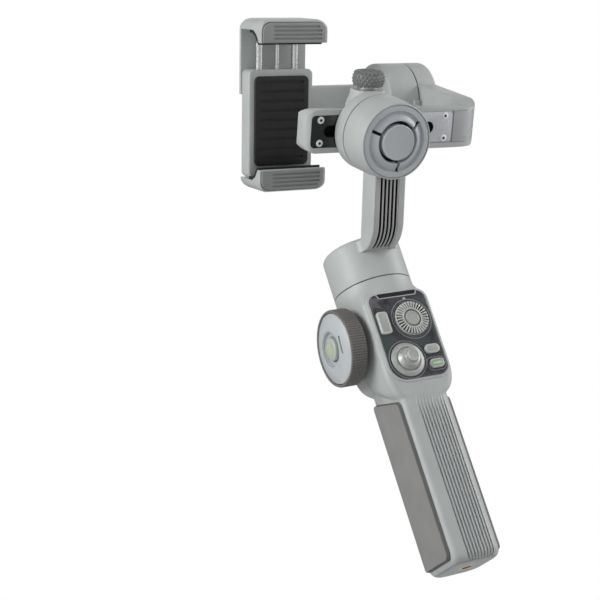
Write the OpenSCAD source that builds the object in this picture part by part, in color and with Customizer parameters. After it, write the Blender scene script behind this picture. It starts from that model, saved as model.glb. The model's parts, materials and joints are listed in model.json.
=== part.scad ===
// Phone gimbal stabiliser with pan, roll and tilt motors, in millimetres.
// The origin is the mouth of the tripod thread, +Z runs up the handle and -Y faces the user.

/* [Grip] */
// Width of the grip across both rubber pads
grip_w = 31.5; // [29:0.5:36]
// Depth of the grip from its ribbed back to its front
grip_d = 35.5; // [32:0.5:40]
// Corner radius of the grip
grip_r = 9; // [7:0.5:11]
// Wall of the plastic shells
shell_wall = 2.2; // [1.8:0.1:2.4]
// Depth of the shells' split line in front of the thread
split_y = 4; // [2:0.5:6]
// Thickness of the base cap
base_t = 3; // [2:0.5:5]
// Thickness of a rubber grip pad at its middle
pad_t = 3.4; // [2.6:0.1:3.6]
// Gap round a piece that is let into another
inset_gap = 0.1; // [0.05:0.05:0.2]
// Number of grooves down the ribbed back
rib_count = 9; // [5:1:9]
// Distance between two grooves of the ribbed back
rib_pitch = 2.5; // [2:0.1:2.6]
// Depth of a groove
rib_depth = 0.8; // [0.4:0.1:1]

/* [Battery and tripod thread] */
// Diameter of the battery cell
cell_d = 18.4; // [16:0.1:18.6]
// Length of the battery cell
cell_l = 65; // [60:1:72]
// Clearance round the battery cell
cell_gap = 0.3; // [0.2:0.1:0.5]
// Radius of the tripod thread at its crests
thread_r = 2.6; // [2.4:0.05:2.8]
// Length of the tripod thread
thread_l = 9; // [7:0.5:10]
// Wall of the brass thread insert
insert_wall = 1.8; // [1.4:0.1:2.4]

/* [Head of the handle] */
// Width of the head
head_w = 39; // [38:0.5:44]
// Depth of the head
head_d = 41; // [40:0.5:44]
// Corner radius of the head's front
head_r = 8; // [6:0.5:10]
// Corner radius of the head's back, round the control panel
head_edge_r = 3.2; // [2.8:0.1:4]
// Height of the head above the waist
head_h = 62.4; // [61:0.2:66]
// Height of the sloping shoulder under the pan motor
shoulder_h = 12; // [8:0.5:14]
// Thickness of the deck that carries the pan motor
deck_t = 3; // [2:0.5:4]

/* [Control panel] */
// Width of the smoked window
panel_w = 33; // [32.4:0.2:33.4]
// Height of the smoked window
panel_h = 47.4; // [47:0.2:49]
// Corner radius of the window
panel_r = 4; // [2:0.5:6]
// Thickness of the window
window_t = 1.6; // [1.2:0.1:1.8]
// Depth of the control board under the window's face
board_depth = 4.7; // [4.5:0.1:5.2]
// Thickness of a circuit board
board_t = 1.6; // [1:0.1:2]
// Radius of the dial
dial_r = 9.2; // [8.6:0.1:9.4]
// Radius of the button in the dial
dial_button_r = 4; // [3.4:0.1:4.4]
// Radius of the joystick collar
joystick_r = 9.2; // [8.8:0.1:9.4]
// Width of the record button
record_w = 6.2; // [5:0.1:6.6]
// Height of the record button
record_h = 12.2; // [9:0.1:13]
// Width of a pill button
pill_w = 8.4; // [7:0.1:8.8]
// Height of a pill button
pill_h = 4.9; // [4:0.1:5.2]
// How far a button can be pressed
press_travel = 0.6; // [0.3:0.1:0.6]
// Side clearance of a button
button_gap = 0.3; // [0.2:0.05:0.4]

/* [Focus wheel] */
// Radius of the wheel
wheel_r = 20.3; // [18:0.1:21]
// Thickness of the wheel
wheel_t = 9.3; // [8.6:0.1:11]
// Gap between the wheel and the head
wheel_gap = 3.7; // [3.2:0.1:5]
// Radius of the button at the wheel's centre
wheel_button_r = 6.2; // [5.6:0.1:6.6]
// Rise of the wheel's face from its rim to its centre
wheel_dome = 2.4; // [1:0.1:3]

/* [Motors] */
// Radius of the pan motor
pan_r = 21.1; // [20.6:0.1:22]
// Height of the pan motor cover
pan_cover_h = 23.8; // [23:0.1:26]
// Radius of the roll motor at its seam
roll_r = 20.7; // [20.4:0.1:21.4]
// Length of the roll motor's front cover
roll_cover_l = 18.8; // [18:0.1:20]
// Radius of the roll motor's cap
roll_cap_r = 18.8; // [18.4:0.1:19]
// Radius of the tilt motor
tilt_r = 21.4; // [20.6:0.1:22]
// Wall of a motor cover
cover_wall = 2; // [1.6:0.1:2.2]
// Radius of a motor shaft
shaft_r = 3; // [2.6:0.1:3.2]
// Running clearance of a shaft in its bearings
run_gap = 0.03; // [0.02:0.01:0.06]
// Gap between two motor halves at their seam
seam_gap = 0.3; // [0.3:0.1:0.6]

/* [Arms] */
// Pitch of the roll axis above the plane of the handle
head_pitch = 42.3; // [38:0.1:46]
// Roll of the cross arm in the photographed pose
rest_roll = 2.5; // [0:0.1:5]
// Tilt of the clamp in the photographed pose
rest_tilt = -6; // [-10:0.5:0]
// Distance of the roll seam behind the pan axis, towards the user
roll_back = 56.9; // [54:0.1:60]
// Height of the roll seam's centre above the pan seam
roll_rise = 63.6; // [62:0.1:68]
// Width of the pan arm
arm_w = 18.4; // [14:0.2:20]
// Thickness of the pan arm
arm_t = 13.4; // [11:0.2:14]
// Height of the cross arm
bar_h = 22.6; // [20:0.2:23]
// Thickness of the cross arm
bar_t = 13.4; // [12:0.2:14]
// Distance of the cross arm's face behind the roll seam
bar_face = 10; // [9:0.2:12]
// Length of the cross arm's free end beyond the roll axis
bar_left = 37; // [36:0.2:42]
// Distance of the side leg's outer face from the roll axis
leg_x = 70.2; // [69:0.2:72]
// Thickness of the side leg
leg_t = 10.7; // [10:0.1:10.7]
// Distance of the tilt axis behind the roll seam
tilt_back = 80.5; // [79:0.5:84]
// Running clearance of the cross arm in its housing
slide_gap = 0.3; // [0.3:0.05:0.4]
// Radius of the lock knob
knob_r = 9.2; // [7:0.1:10]
// Height of the lock knob
knob_h = 8.8; // [7:0.1:10]

/* [Clamp] */
// Width of a jaw
jaw_w = 38.8; // [34:0.2:42]
// Width of the clamped phone
phone_w = 78; // [74:0.5:84]
// Thickness of the clamped phone
phone_t = 7.6; // [7:0.1:9]
// Height of a jaw's ribbed pad
jaw_h = 12; // [11:0.2:13]
// Depth of a jaw in front of the tilt axis
jaw_front = 14; // [13.4:0.2:15]
// Overlap of a jaw's lip over the phone's edge
lip = 4.2; // [3:0.1:5]
// Distance of the clamp's middle left of the roll axis
clamp_x = 16.6; // [15:0.2:18]
// Radius of a guide rod
rod_r = 2; // [1.6:0.1:2.4]

/* [Hidden] */
$fn = 64;
// Reach of a cutter past the face that it opens
cut = 1;
// Reach of a half-space cutter past the whole object
far = 200;

// Battery, screws and waist stack up from the thread
insert_r = thread_r + insert_wall;
base_boss_r = insert_r + 2;
boss_r = 2.6;
screw_r = 1.2;
screw_head_r = 2.1;
screw_x = 6.5;
low_screw_z = thread_l + 1 + boss_r + cell_gap;
cell_z = low_screw_z + boss_r + cell_gap;
high_screw_z = cell_z + cell_l + cell_gap + boss_r;
waist_z = high_screw_z + boss_r + 2;
pad_x = grip_w / 2 - pad_t;
pad_z = base_t + 1;
pad_h = waist_z - pad_z - 3;
cavity_x = pad_x - inset_gap - shell_wall;
cavity_r = min(grip_r - shell_wall, cavity_x - 1);
cradle_t = 3;

// The head carries the panel on its back, the wheel on its left and the pan motor on top
pan_y = 2.5;
head_back = -grip_d / 2 - 0.6;
head_y = head_back + head_d / 2;
head_front = head_back + head_d;
head_top = waist_z + head_h;
shoulder_z = head_top - shoulder_h;
shoulder_r = norm([head_w / 2, head_d / 2]);
window_proud = 0.3;
panel_y = head_back - window_proud;
panel_low = waist_z + 7.2;
panel_top = panel_low + panel_h;
panel_z = panel_low + panel_h / 2;
window_ledge = 1.2;
frame_wall = 2;
board_w = panel_w - 2;
board_h = panel_h - 3;
dial_x = 4.6;
dial_z = panel_top - 15.3;
record_x = -11.8;
record_z = panel_top - 15.6;
joystick_x = -5;
joystick_z = panel_low + 10.6;
pill_x = 10.4;
menu_z = panel_low + 14.3;
mode_z = panel_low + 6.2;
button_rise = 1;
button_z = -board_depth + press_travel + 0.1;
dial_rise = 2.2;
dial_post_r = dial_button_r + 0.8;
dial_seat = 1.2;
stick_z = -1.6;
yoke_r = 5.6;
yoke_t = 2.4;
ball_r = 2.6;
collar_hole_r = 6.4;
collar_rise = 1.4;

// Wheel parts are measured outwards from the head's left side
wheel_y = 2.8;
wheel_z = head_top - 25.6;
wheel_end = wheel_gap + wheel_t;
wheel_rim = 2.8;
wheel_web = 2.2;
axle_r = 8;
axle_flange_r = 14;
disc_t = 2.2;
wheel_well = 3.6;
disc_z = wheel_end - 0.8 - disc_t;
button_head_z = wheel_end - 2.2;
button_stem_r = wheel_button_r - 1;
axle_end = button_head_z - press_travel - 0.3;

// Trigger on the front of the head
trigger_w = 12;
trigger_h = 24;
trigger_z = waist_z + 12;
trigger_pin_r = 1.2;
trigger_pin_y = head_front - 4;
trigger_pin_z = trigger_z + trigger_h;
trigger_hub_r = 2.8;
trigger_reach = 2.6;
trigger_swing = 1;

// Motor stacks share one set of radii
bearing_r = shaft_r + 3;
bearing_t = 3.6;
tube_r = bearing_r + 1;
magnet_t = 2.2;
air_gap = 0.5;
bell_t = 1.4;

pan_seam = head_top + 2.8;
pan_bell_z = 14.6;

roll_y = pan_y - roll_back;
roll_z = pan_seam + roll_rise;
cap_t = 3;
cap_disc_r = 9.4;
cap_band = 3.4;
cap_lip = 1.8;
cap_boss = 1.4;
cap_rise = 2.2;
roll_rim = 0.9;
roll_front_r = roll_cap_r + roll_rim;
roll_floor = -roll_cover_l + cap_t;
roll_tube_end = seam_gap / 2 - bell_t - seam_gap;
roll_bell = -12.4;

arm_back = -1;
arm_front = arm_back - arm_t;
bend_r = 20;
bend_z = -44;
inlay_t = 1.2;
inlay_w = arm_w - 2.4;
inlay_grooves = 5;
inlay_pitch = 2.4;
inlay_top = -roll_r - 0.4;
inlay_end = bend_z - 0.72 * bend_r;

// The cross arm slides through the roll housing
bar_back = bar_face + bar_t;
housing_back = bar_back + slide_gap + 3;
housing_top = roll_r - 0.4;
flat_x = 11.5;
knob_y = bar_face + bar_t / 2;
knob_x = 1;
knob_z = housing_top + 0.5;
lock_screw_r = 3;
plate_t = 1.5;
plate_h = bar_h - 6;
plate_left = -33.6;
plate_right = 50.5;
slot_h = 6.4;
slot_left = -26.6;
slot_right = 39;
slot_depth = 5;
key_r = slot_h / 2 - slide_gap;
plate_screw_x = [-28.6, 45.8];
plate_screw_z = plate_h / 2 - 2.3;
plate_screw_r = 1.4;
plate_screw_l = 6;
corner_t = 2;
corner_r = 9;
corner_end = bar_face + 34;
leg_in = leg_x - leg_t;

// Tilt motor stands on the leg, with its seam square to the cross arm
tilt_seam = 59.3;
tilt_end = 72;
tilt_left = 41;
tilt_bell = tilt_left + cover_wall + 1;
tilt_tube = tilt_bell + bell_t + seam_gap;

// The clamp is measured from the tilt axis and holds the phone just in front of it
clamp_left = -clamp_x - jaw_w / 2;
clamp_right = -clamp_x + jaw_w / 2;
phone_half = phone_w / 2;
rubber_t = 1.6;
body_y = 2.2;
body_t = 10;
body_back = body_y + body_t;
body_drop = 20;
body_top = phone_half - body_drop;
jaw_side = 1.6;
jaw_inner = phone_half + rubber_t;
jaw_outer = phone_half - lip + jaw_h;
lip_in = phone_t + rubber_t;
skirt_t = 2;
skirt_gap = 0.4;
skirt_h = 42;
rod_x = 11;
rod_y = body_y + body_t / 2;
rod_bottom = -phone_half + 20;
rod_floor = -phone_half + 0.5;
spring_r = 3;
wire_r = 0.5;
spring_bore_r = spring_r + wire_r + 0.3;
spring_turns = 14;
spring_floor = -phone_half + 6;
post_r = 1.2;
post_bottom = spring_floor + 19;

BODY = [0.68, 0.70, 0.69];
DARK = [0.42, 0.42, 0.41];
RUBBER = [0.12, 0.12, 0.12];
METAL = [0.75, 0.75, 0.76];
COPPER = [0.72, 0.45, 0.25];
BOARD = [0.14, 0.2, 0.18];

// Shapes that repeat
module rounded_rect(w, d, r) {
    square([w - 2 * r, d], center = true);
    square([w, d - 2 * r], center = true);
    for (x = [-1, 1], y = [-1, 1])
        translate([x * (w / 2 - r), y * (d / 2 - r)])
            circle(r);
}

module rounded_bar(w, d, h, r)
    linear_extrude(h)
        rounded_rect(w, d, r);

module ring(r_out, r_in, h)
    difference() {
        cylinder(r = r_out, h = h);
        translate([0, 0, -cut])
            cylinder(r = r_in, h = h + 2 * cut);
    }

// A flat outline in X and Z, pushed from y0 to y1
module slab_y(y0, y1)
    translate([0, y1, 0])
        rotate([90, 0, 0])
            linear_extrude(y1 - y0)
                children();

// A flat outline in Y and Z, pushed from x0 to x1
module slab_x(x0, x1)
    translate([x0, 0, 0])
        rotate([90, 0, 90])
            linear_extrude(x1 - x0)
                children();

// Local +Z towards the user, with zero on the window's face
module on_panel(x, z)
    translate([x, panel_y, z])
        rotate([90, 0, 0])
            children();

// Local +Z outwards from the head's left side, on the wheel's axis
module on_wheel()
    translate([-head_w / 2, wheel_y, wheel_z])
        rotate([0, -90, 0])
            children();

// Pan motor frame, with zero at its seam
module on_pan()
    translate([0, pan_y, pan_seam])
        children();

// Roll motor frame, with Y along the roll axis and zero at the seam
module on_roll()
    translate([0, roll_y, roll_z])
        rotate([head_pitch, 0, 0])
            children();

// Local +Z along the roll axis, away from the user
module along_roll()
    on_roll()
        rotate([-90, 0, 0])
            children();

// Frame of the cross arm as it is rolled in the photograph
module on_bar()
    on_roll()
        rotate([0, rest_roll, 0])
            children();

// Local +Z along the tilt axis, to the right
module along_tilt()
    on_bar()
        translate([0, tilt_back, 0])
            rotate([0, 90, 0])
                children();

// Frame of the clamp as it is tilted in the photograph
module on_clamp()
    on_bar()
        translate([0, tilt_back, 0])
            rotate([rest_tilt, 0, 0])
                children();

// A wound stator on its tube: a core with open slots between the poles
module stator(r_in, r_out, h, poles)
    difference() {
        ring(r_out, r_in, h);
        for (i = [0 : poles - 1])
            rotate([0, 0, i * 360 / poles])
                translate([(r_in + r_out) / 2, -1, -cut])
                    cube([r_out, 2, h + 2 * cut]);
    }

// A bell with its magnet ring, closed by a disc at z = top on the shaft from bottom to tip
module rotor(r_out, skirt, top, bottom, tip) {
    difference() {
        translate([0, 0, skirt])
            cylinder(r = r_out, h = top + bell_t - skirt);
        translate([0, 0, skirt - cut])
            cylinder(r = r_out - magnet_t, h = top - skirt + cut);
    }
    translate([0, 0, bottom])
        cylinder(r = shaft_r, h = tip - bottom);
}

module bearing()
    ring(bearing_r, shaft_r + run_gap, bearing_t);

// Outside of the whole handle
module handle_solid() {
    translate([0, 0, base_t])
        rounded_bar(grip_w, grip_d, waist_z - base_t, grip_r);
    intersection() {
        translate([0, head_y, waist_z])
            linear_extrude(head_h)
                head_outline(0);
        shoulder(0);
    }
}

// Plan of the head, drawn in by a wall for the cavity, with tighter corners at its back
module head_outline(inset) {
    w = head_w - 2 * inset;
    d = head_d - 2 * inset;
    intersection() {
        rounded_rect(w, d, head_edge_r - inset);
        translate([-w, -2 * d])
            square([2 * w, 2 * d]);
    }
    intersection() {
        rounded_rect(w, d, head_r - inset);
        translate([-w, 0])
            square([2 * w, 2 * d]);
    }
}

// Round shoulder under the pan motor, drawn in by a wall for the cavity
module shoulder(inset)
    translate([0, pan_y, 0])
        rotate_extrude()
            polygon([
                [0, 0],
                [2 * shoulder_r, 0],
                [2 * shoulder_r, shoulder_z],
                [shoulder_r - inset, shoulder_z],
                [pan_r - inset, head_top],
                [0, head_top]
            ]);

module handle_cavity() {
    translate([0, 0, base_t + shell_wall])
        rounded_bar(2 * cavity_x, grip_d - 2 * shell_wall, waist_z - base_t, cavity_r);
    intersection() {
        translate([0, head_y, waist_z + shell_wall])
            linear_extrude(head_h - deck_t - shell_wall)
                head_outline(shell_wall);
        shoulder(shell_wall);
    }
}

// What both shells are cut by: pad pockets, base boss, pan tube and screw holes
module shell_cuts() {
    for (s = [-1, 1])
        translate([s * (pad_x - inset_gap + far / 2), 0, pad_z - inset_gap + (pad_h + 2 * inset_gap) / 2])
            cube([far, far, pad_h + 2 * inset_gap], center = true);
    translate([0, 0, -cut])
        cylinder(r = base_boss_r + inset_gap, h = base_t + shell_wall + 2 * cut);
    translate([0, pan_y, head_top - deck_t - cut])
        cylinder(r = tube_r + inset_gap, h = deck_t + 2 * cut);
    at_screws()
        cylinder(r = screw_r + inset_gap, h = grip_d);
}

module at_screws()
    for (x = [-screw_x, screw_x], z = [low_screw_z, high_screw_z])
        translate([x, -grip_d / 2 + shell_wall + 2, z])
            rotate([-90, 0, 0])
                children();

module screw_bosses(y0, y1)
    for (x = [-screw_x, screw_x], z = [low_screw_z, high_screw_z])
        translate([x, y0, z])
            rotate([-90, 0, 0])
                cylinder(r = boss_r, h = y1 - y0);

module rear_half()
    translate([-far / 2, split_y - far, -cut])
        cube([far, far, far]);

module front_half()
    translate([-far / 2, split_y, -cut])
        cube([far, far, far]);

module panel_cuts() {
    on_panel(0, panel_z)
        translate([0, 0, -window_t])
            rounded_bar(panel_w + 2 * inset_gap, panel_h + 2 * inset_gap, window_t + cut, panel_r);
    on_panel(0, panel_z)
        translate([0, 0, -board_depth - cut])
            rounded_bar(panel_w - 2 * window_ledge, panel_h - 2 * window_ledge, board_depth, panel_r);
}

module rear_shell()
    color(BODY)
        difference() {
            union() {
                intersection() {
                    difference() {
                        handle_solid();
                        handle_cavity();
                    }
                    rear_half();
                }
                // Frame that the control board sits on
                on_panel(0, panel_z)
                    translate([0, 0, -board_depth])
                        rounded_bar(panel_w, panel_h, board_depth - window_proud - shell_wall, panel_r);
                screw_bosses(-grip_d / 2 + shell_wall, split_y);
            }
            shell_cuts();
            panel_cuts();
            for (i = [0 : rib_count - 1])
                translate([(i - (rib_count - 1) / 2) * rib_pitch, -grip_d / 2 - cut + rib_depth, pad_z + pad_h / 2])
                    cube([rib_pitch * 0.45, 2 * cut, pad_h], center = true);
        }

module front_shell()
    color(BODY)
        difference() {
            union() {
                intersection() {
                    difference() {
                        handle_solid();
                        handle_cavity();
                    }
                    front_half();
                }
                screw_bosses(split_y, grip_d / 2 - shell_wall);
                cell_cradles();
                board_posts();
                trigger_ears();
            }
            shell_cuts();
            at_screws()
                translate([0, 0, grip_d - shell_wall - 2 - 1.6])
                    cylinder(r = screw_head_r + inset_gap, h = grip_d);
            trigger_window();
            translate([-far / 2, trigger_pin_y, trigger_pin_z])
                rotate([0, 90, 0])
                    translate([0, 0, far / 2 - trigger_w / 2 - 3])
                        cylinder(r = trigger_pin_r + run_gap, h = trigger_w + 6);
            port_hole();
        }

// Two ribs that hold the battery cell from the front
module cell_cradles()
    for (z = [cell_z + 6, cell_z + cell_l - 6 - cradle_t])
        difference() {
            translate([-cavity_x, split_y, z])
                cube([2 * cavity_x, grip_d / 2 - shell_wall - split_y, cradle_t]);
            translate([0, 0, z - cut])
                cylinder(r = cell_d / 2 + cell_gap, h = cradle_t + 2 * cut);
        }

board_y = head_front - shell_wall - 7;
main_w = 26;
main_h = 30;
main_gap = 1.2;
main_z = head_top - deck_t - shell_wall - main_gap - main_h;

module board_posts()
    for (x = [-1, 1], z = [0, 1])
        translate([x * (main_w / 2 - 3), board_y, main_z + 3 + z * (main_h - 6)])
            rotate([-90, 0, 0])
                cylinder(r = 2, h = head_front - shell_wall - board_y);

// Ears on both sides of the trigger's hub that carry its pin
module trigger_ears()
    for (s = [-1, 1])
        translate([s * (trigger_w / 2 + 1.8), trigger_pin_y, trigger_pin_z])
            rotate([0, 90, 0])
                translate([0, 0, -1.5])
                    hull_free_ear();

module hull_free_ear() {
    cylinder(r = trigger_hub_r, h = 3);
    translate([-trigger_hub_r, 0, 0])
        cube([2 * trigger_hub_r, head_front - shell_wall / 2 - trigger_pin_y, 3]);
}

module trigger_window()
    translate([-trigger_w / 2 - button_gap, head_front - 2 * shell_wall, trigger_z - trigger_swing])
        cube([trigger_w + 2 * button_gap, 4 * shell_wall, trigger_swing + trigger_h + trigger_hub_r]);

port_w = 9;
port_h = 3.4;
port_z = waist_z + 12;
port_l = 7;
port_y = split_y + 1 + port_w / 2;

module port_hole()
    translate([head_w / 2 - port_l, port_y - port_w / 2 - inset_gap, port_z - port_h / 2 - inset_gap])
        cube([port_l + cut, port_w + 2 * inset_gap, port_h + 2 * inset_gap]);

module shell_screws()
    color(METAL)
        at_screws() {
            cylinder(r = screw_r, h = grip_d - shell_wall - 2 - 1.6);
            translate([0, 0, grip_d - shell_wall - 2 - 1.6])
                cylinder(r = screw_head_r, h = 1.2);
        }

module grip_pad(side)
    color(DARK)
        intersection() {
            translate([0, 0, pad_z])
                rounded_bar(grip_w, grip_d, pad_h, grip_r);
            translate([side * (pad_x + far / 2), 0, 0])
                cube([far, far, 2 * far], center = true);
        }

module left_grip_pad()
    grip_pad(-1);

module right_grip_pad()
    grip_pad(1);

module base_cap()
    color(DARK)
        difference() {
            union() {
                rounded_bar(grip_w, grip_d, base_t, grip_r);
                cylinder(r = base_boss_r, h = thread_l);
            }
            translate([0, 0, -cut])
                cylinder(r = insert_r, h = thread_l + 2 * cut);
        }

module thread_insert()
    color("goldenrod")
        ring(insert_r, thread_r, thread_l);

module battery_cell()
    color("seagreen")
        translate([0, 0, cell_z]) {
            cylinder(d = cell_d, h = cell_l - 1);
            cylinder(r = cell_d / 4, h = cell_l);
        }

module main_board()
    color(BOARD)
        translate([-main_w / 2, board_y - board_t, main_z])
            cube([main_w, board_t, main_h]);

module control_board()
    color(BOARD)
        on_panel(0, panel_z)
            translate([-board_w / 2, -board_h / 2, -board_depth - board_t])
                cube([board_w, board_h, board_t]);

module panel_window()
    color([0.12, 0.12, 0.13, 0.6])
        difference() {
            on_panel(0, panel_z)
                translate([0, 0, -window_t])
                    rounded_bar(panel_w, panel_h, window_t, panel_r);
            on_panel(dial_x, dial_z)
                window_hole(2 * (dial_r + button_gap), 2 * (dial_r + button_gap), dial_r + button_gap - 0.01);
            on_panel(joystick_x, joystick_z)
                window_hole(2 * (joystick_r + inset_gap), 2 * (joystick_r + inset_gap), joystick_r);
            on_panel(record_x, record_z)
                window_hole(record_w + 2 * button_gap, record_h + 2 * button_gap, 1.5 + button_gap);
            for (z = [menu_z, mode_z])
                on_panel(pill_x, z)
                    window_hole(pill_w + 2 * button_gap, pill_h + 2 * button_gap, 2 + button_gap);
        }

module window_hole(w, h, r)
    translate([0, 0, -window_t - cut])
        rounded_bar(w, h, window_t + 2 * cut, r);

module dial_post()
    color(DARK)
        on_panel(dial_x, dial_z)
            translate([0, 0, -board_depth])
                difference() {
                    union() {
                        cylinder(r = dial_r - 1, h = dial_seat);
                        cylinder(r = dial_post_r, h = board_depth + dial_rise - 1);
                    }
                    translate([0, 0, 0.6])
                        cylinder(r = dial_button_r + run_gap, h = far);
                }

module dial_ring()
    color(METAL)
        on_panel(dial_x, dial_z)
            translate([0, 0, -board_depth + dial_seat + 0.3])
                difference() {
                    ring(dial_r, dial_post_r + run_gap, board_depth - dial_seat - 0.3 + dial_rise);
                    for (i = [0 : 31])
                        rotate([0, 0, i * 360 / 32])
                            translate([dial_post_r + 0.9, -0.3, board_depth - dial_seat - 0.3 + dial_rise - 0.5])
                                cube([dial_r, 0.6, cut]);
                }

module dial_button()
    color(METAL)
        on_panel(dial_x, dial_z)
            translate([0, 0, -board_depth + 0.6 + press_travel + 0.1])
                cylinder(r = dial_button_r, h = board_depth - 0.7 - press_travel + dial_rise - 0.4);

module flat_button(x, z, w, h, r)
    color(METAL)
        on_panel(x, z)
            translate([0, 0, button_z])
                rounded_bar(w, h, button_rise - button_z, r);

module record_button()
    flat_button(record_x, record_z, record_w, record_h, 1.5);

module menu_button()
    flat_button(pill_x, menu_z, pill_w, pill_h, 2);

module mode_button()
    flat_button(pill_x, mode_z, pill_w, pill_h, 2);

// Collar with two bores for the yoke's pins, which run along X
module joystick_collar()
    color(METAL)
        on_panel(joystick_x, joystick_z)
            difference() {
                translate([0, 0, -board_depth])
                    ring(joystick_r, collar_hole_r, board_depth + collar_rise);
                translate([-joystick_r + 0.8, 0, stick_z])
                    rotate([0, 90, 0])
                        cylinder(r = 0.8 + run_gap, h = 2 * joystick_r - 1.6);
            }

module joystick_yoke()
    color(DARK)
        on_panel(joystick_x, joystick_z)
            translate([0, 0, stick_z])
                difference() {
                    union() {
                        translate([0, 0, -yoke_t / 2])
                            ring(yoke_r, ball_r + 1, yoke_t);
                        for (s = [-1, 1])
                            translate([s * yoke_r - s * 0.6, 0, 0])
                                rotate([0, s * 90, 0])
                                    cylinder(r = 0.8, h = joystick_r - 1.2 - yoke_r + 0.6);
                    }
                    rotate([90, 0, 0])
                        cylinder(r = 0.7 + run_gap, h = 2 * yoke_r, center = true);
                }

module joystick_stick()
    color(METAL)
        on_panel(joystick_x, joystick_z)
            translate([0, 0, stick_z]) {
                sphere(ball_r);
                rotate([90, 0, 0])
                    cylinder(r = 0.7, h = 2 * yoke_r - 0.6, center = true);
                rotate_extrude()
                    polygon([[0, 0], [1.8, 0], [1.8, 3.6], [4.6, 3.6], [4.2, 4.8], [2.9, 5.6], [2.9, 8.2], [2.4, 8.7], [0, 8.2]]);
            }

module charging_port()
    color(METAL)
        difference() {
            translate([head_w / 2 - port_l, port_y - port_w / 2, port_z - port_h / 2])
                cube([port_l - 0.4, port_w, port_h]);
            translate([head_w / 2 - port_l + 1.4, port_y - port_w / 2 + 0.5, port_z - port_h / 2 + 0.5])
                cube([port_l, port_w - 1, port_h - 1]);
        }

module wheel_axle()
    color(DARK)
        on_wheel()
            difference() {
                union() {
                    cylinder(r = axle_flange_r, h = wheel_gap - 0.4);
                    cylinder(r = axle_r, h = axle_end);
                }
                translate([0, 0, 2])
                    cylinder(r = button_stem_r + run_gap, h = far);
            }

module focus_wheel()
    color(DARK)
        on_wheel()
            translate([0, 0, wheel_gap])
                rotate_extrude()
                    polygon([
                        [axle_r + run_gap, 0],
                        [wheel_r - 0.8, 0],
                        [wheel_r, 0.8],
                        [wheel_r, wheel_t - 0.8],
                        [wheel_r - 0.8, wheel_t],
                        [wheel_r - wheel_rim, wheel_t],
                        [wheel_r - wheel_rim, disc_z - wheel_gap],
                        [wheel_r - wheel_rim - 1.4, disc_z - wheel_gap],
                        [wheel_r - wheel_rim - 1.4, wheel_web],
                        [axle_r + run_gap, wheel_web]
                    ]);

module wheel_disc()
    color(METAL)
        on_wheel()
            translate([0, 0, disc_z])
                rotate_extrude()
                    polygon([
                        [wheel_button_r + button_gap, 0],
                        [wheel_r - wheel_rim - inset_gap, 0],
                        [wheel_r - wheel_rim - inset_gap, disc_t],
                        [wheel_button_r + wheel_well, disc_t + wheel_dome],
                        [wheel_button_r + button_gap, disc_t + wheel_dome]
                    ]);

module wheel_button()
    color("darkseagreen")
        on_wheel() {
            translate([0, 0, button_head_z])
                cylinder(r = wheel_button_r, h = 1.6 + wheel_dome);
            translate([0, 0, 2 + press_travel + 0.1])
                cylinder(r = button_stem_r, h = button_head_z - 2 - press_travel);
        }

module trigger_pin()
    color(METAL)
        translate([-trigger_w / 2 - 2.8, trigger_pin_y, trigger_pin_z])
            rotate([0, 90, 0])
                cylinder(r = trigger_pin_r, h = trigger_w + 5.6);

module trigger()
    color(DARK)
        difference() {
            union() {
                translate([0, trigger_pin_y, trigger_pin_z])
                    rotate([0, 90, 0])
                        cylinder(r = trigger_hub_r - 0.4, h = trigger_w, center = true);
                translate([-trigger_w / 2, trigger_pin_y - 0.4, trigger_z])
                    cube([trigger_w, head_front + trigger_reach - trigger_pin_y, trigger_h]);
            }
            translate([0, trigger_pin_y, trigger_pin_z])
                rotate([0, 90, 0])
                    cylinder(r = trigger_pin_r + run_gap, h = far, center = true);
        }

module pan_base()
    color(BODY)
        on_pan()
            difference() {
                union() {
                    translate([0, 0, head_top - pan_seam])
                        cylinder(r = pan_r, h = pan_seam - seam_gap / 2 - head_top);
                    translate([0, 0, -deck_t - 2 * bearing_t])
                        cylinder(r = tube_r, h = pan_bell_z - seam_gap + deck_t + 2 * bearing_t);
                }
                translate([0, 0, -far / 2])
                    cylinder(r = bearing_r, h = far);
            }

module pan_stator()
    color(COPPER)
        on_pan()
            translate([0, 0, 0.4])
                stator(tube_r, pan_r - cover_wall - magnet_t - air_gap, pan_bell_z - 2, 12);

module pan_bearings()
    color(METAL)
        on_pan()
            for (z = [-deck_t - 2 * bearing_t, pan_bell_z - seam_gap - bearing_t])
                translate([0, 0, z])
                    bearing();

module pan_cover()
    color(BODY)
        on_pan()
            difference() {
                translate([0, 0, seam_gap / 2])
                    cylinder(r = pan_r, h = pan_cover_h - seam_gap / 2);
                translate([0, 0, -cut])
                    cylinder(r = pan_r - cover_wall, h = pan_bell_z + bell_t + cut);
            }

module pan_rotor()
    color(METAL)
        on_pan()
            rotor(pan_r - cover_wall, 1, pan_bell_z, -deck_t - 2 * bearing_t - 0.4, pan_bell_z + bell_t);

// The arm runs down from the roll cover and bends into the side of the pan cover
module pan_arm()
    color(BODY)
        difference() {
            on_roll()
                slab_x(-arm_w / 2, arm_w / 2)
                    arm_side(0);
            on_pan()
                translate([0, 0, -far / 2])
                    cylinder(r = pan_r, h = far);
            along_roll()
                roll_solid();
            on_roll()
                slab_x(-inlay_w / 2 - inset_gap, inlay_w / 2 + inset_gap)
                    inlay_side(-cut, inlay_t + inset_gap, inset_gap);
        }

// Side view of the arm, with its front face and its bend drawn in by an inset
module arm_side(inset) {
    translate([arm_front + inset, bend_z])
        square([arm_t - inset, -bend_z]);
    intersection() {
        translate([arm_front + bend_r, bend_z])
            circle(bend_r - inset);
        translate([arm_front - far, bend_z - far])
            square([far + arm_t, far]);
    }
}

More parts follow.
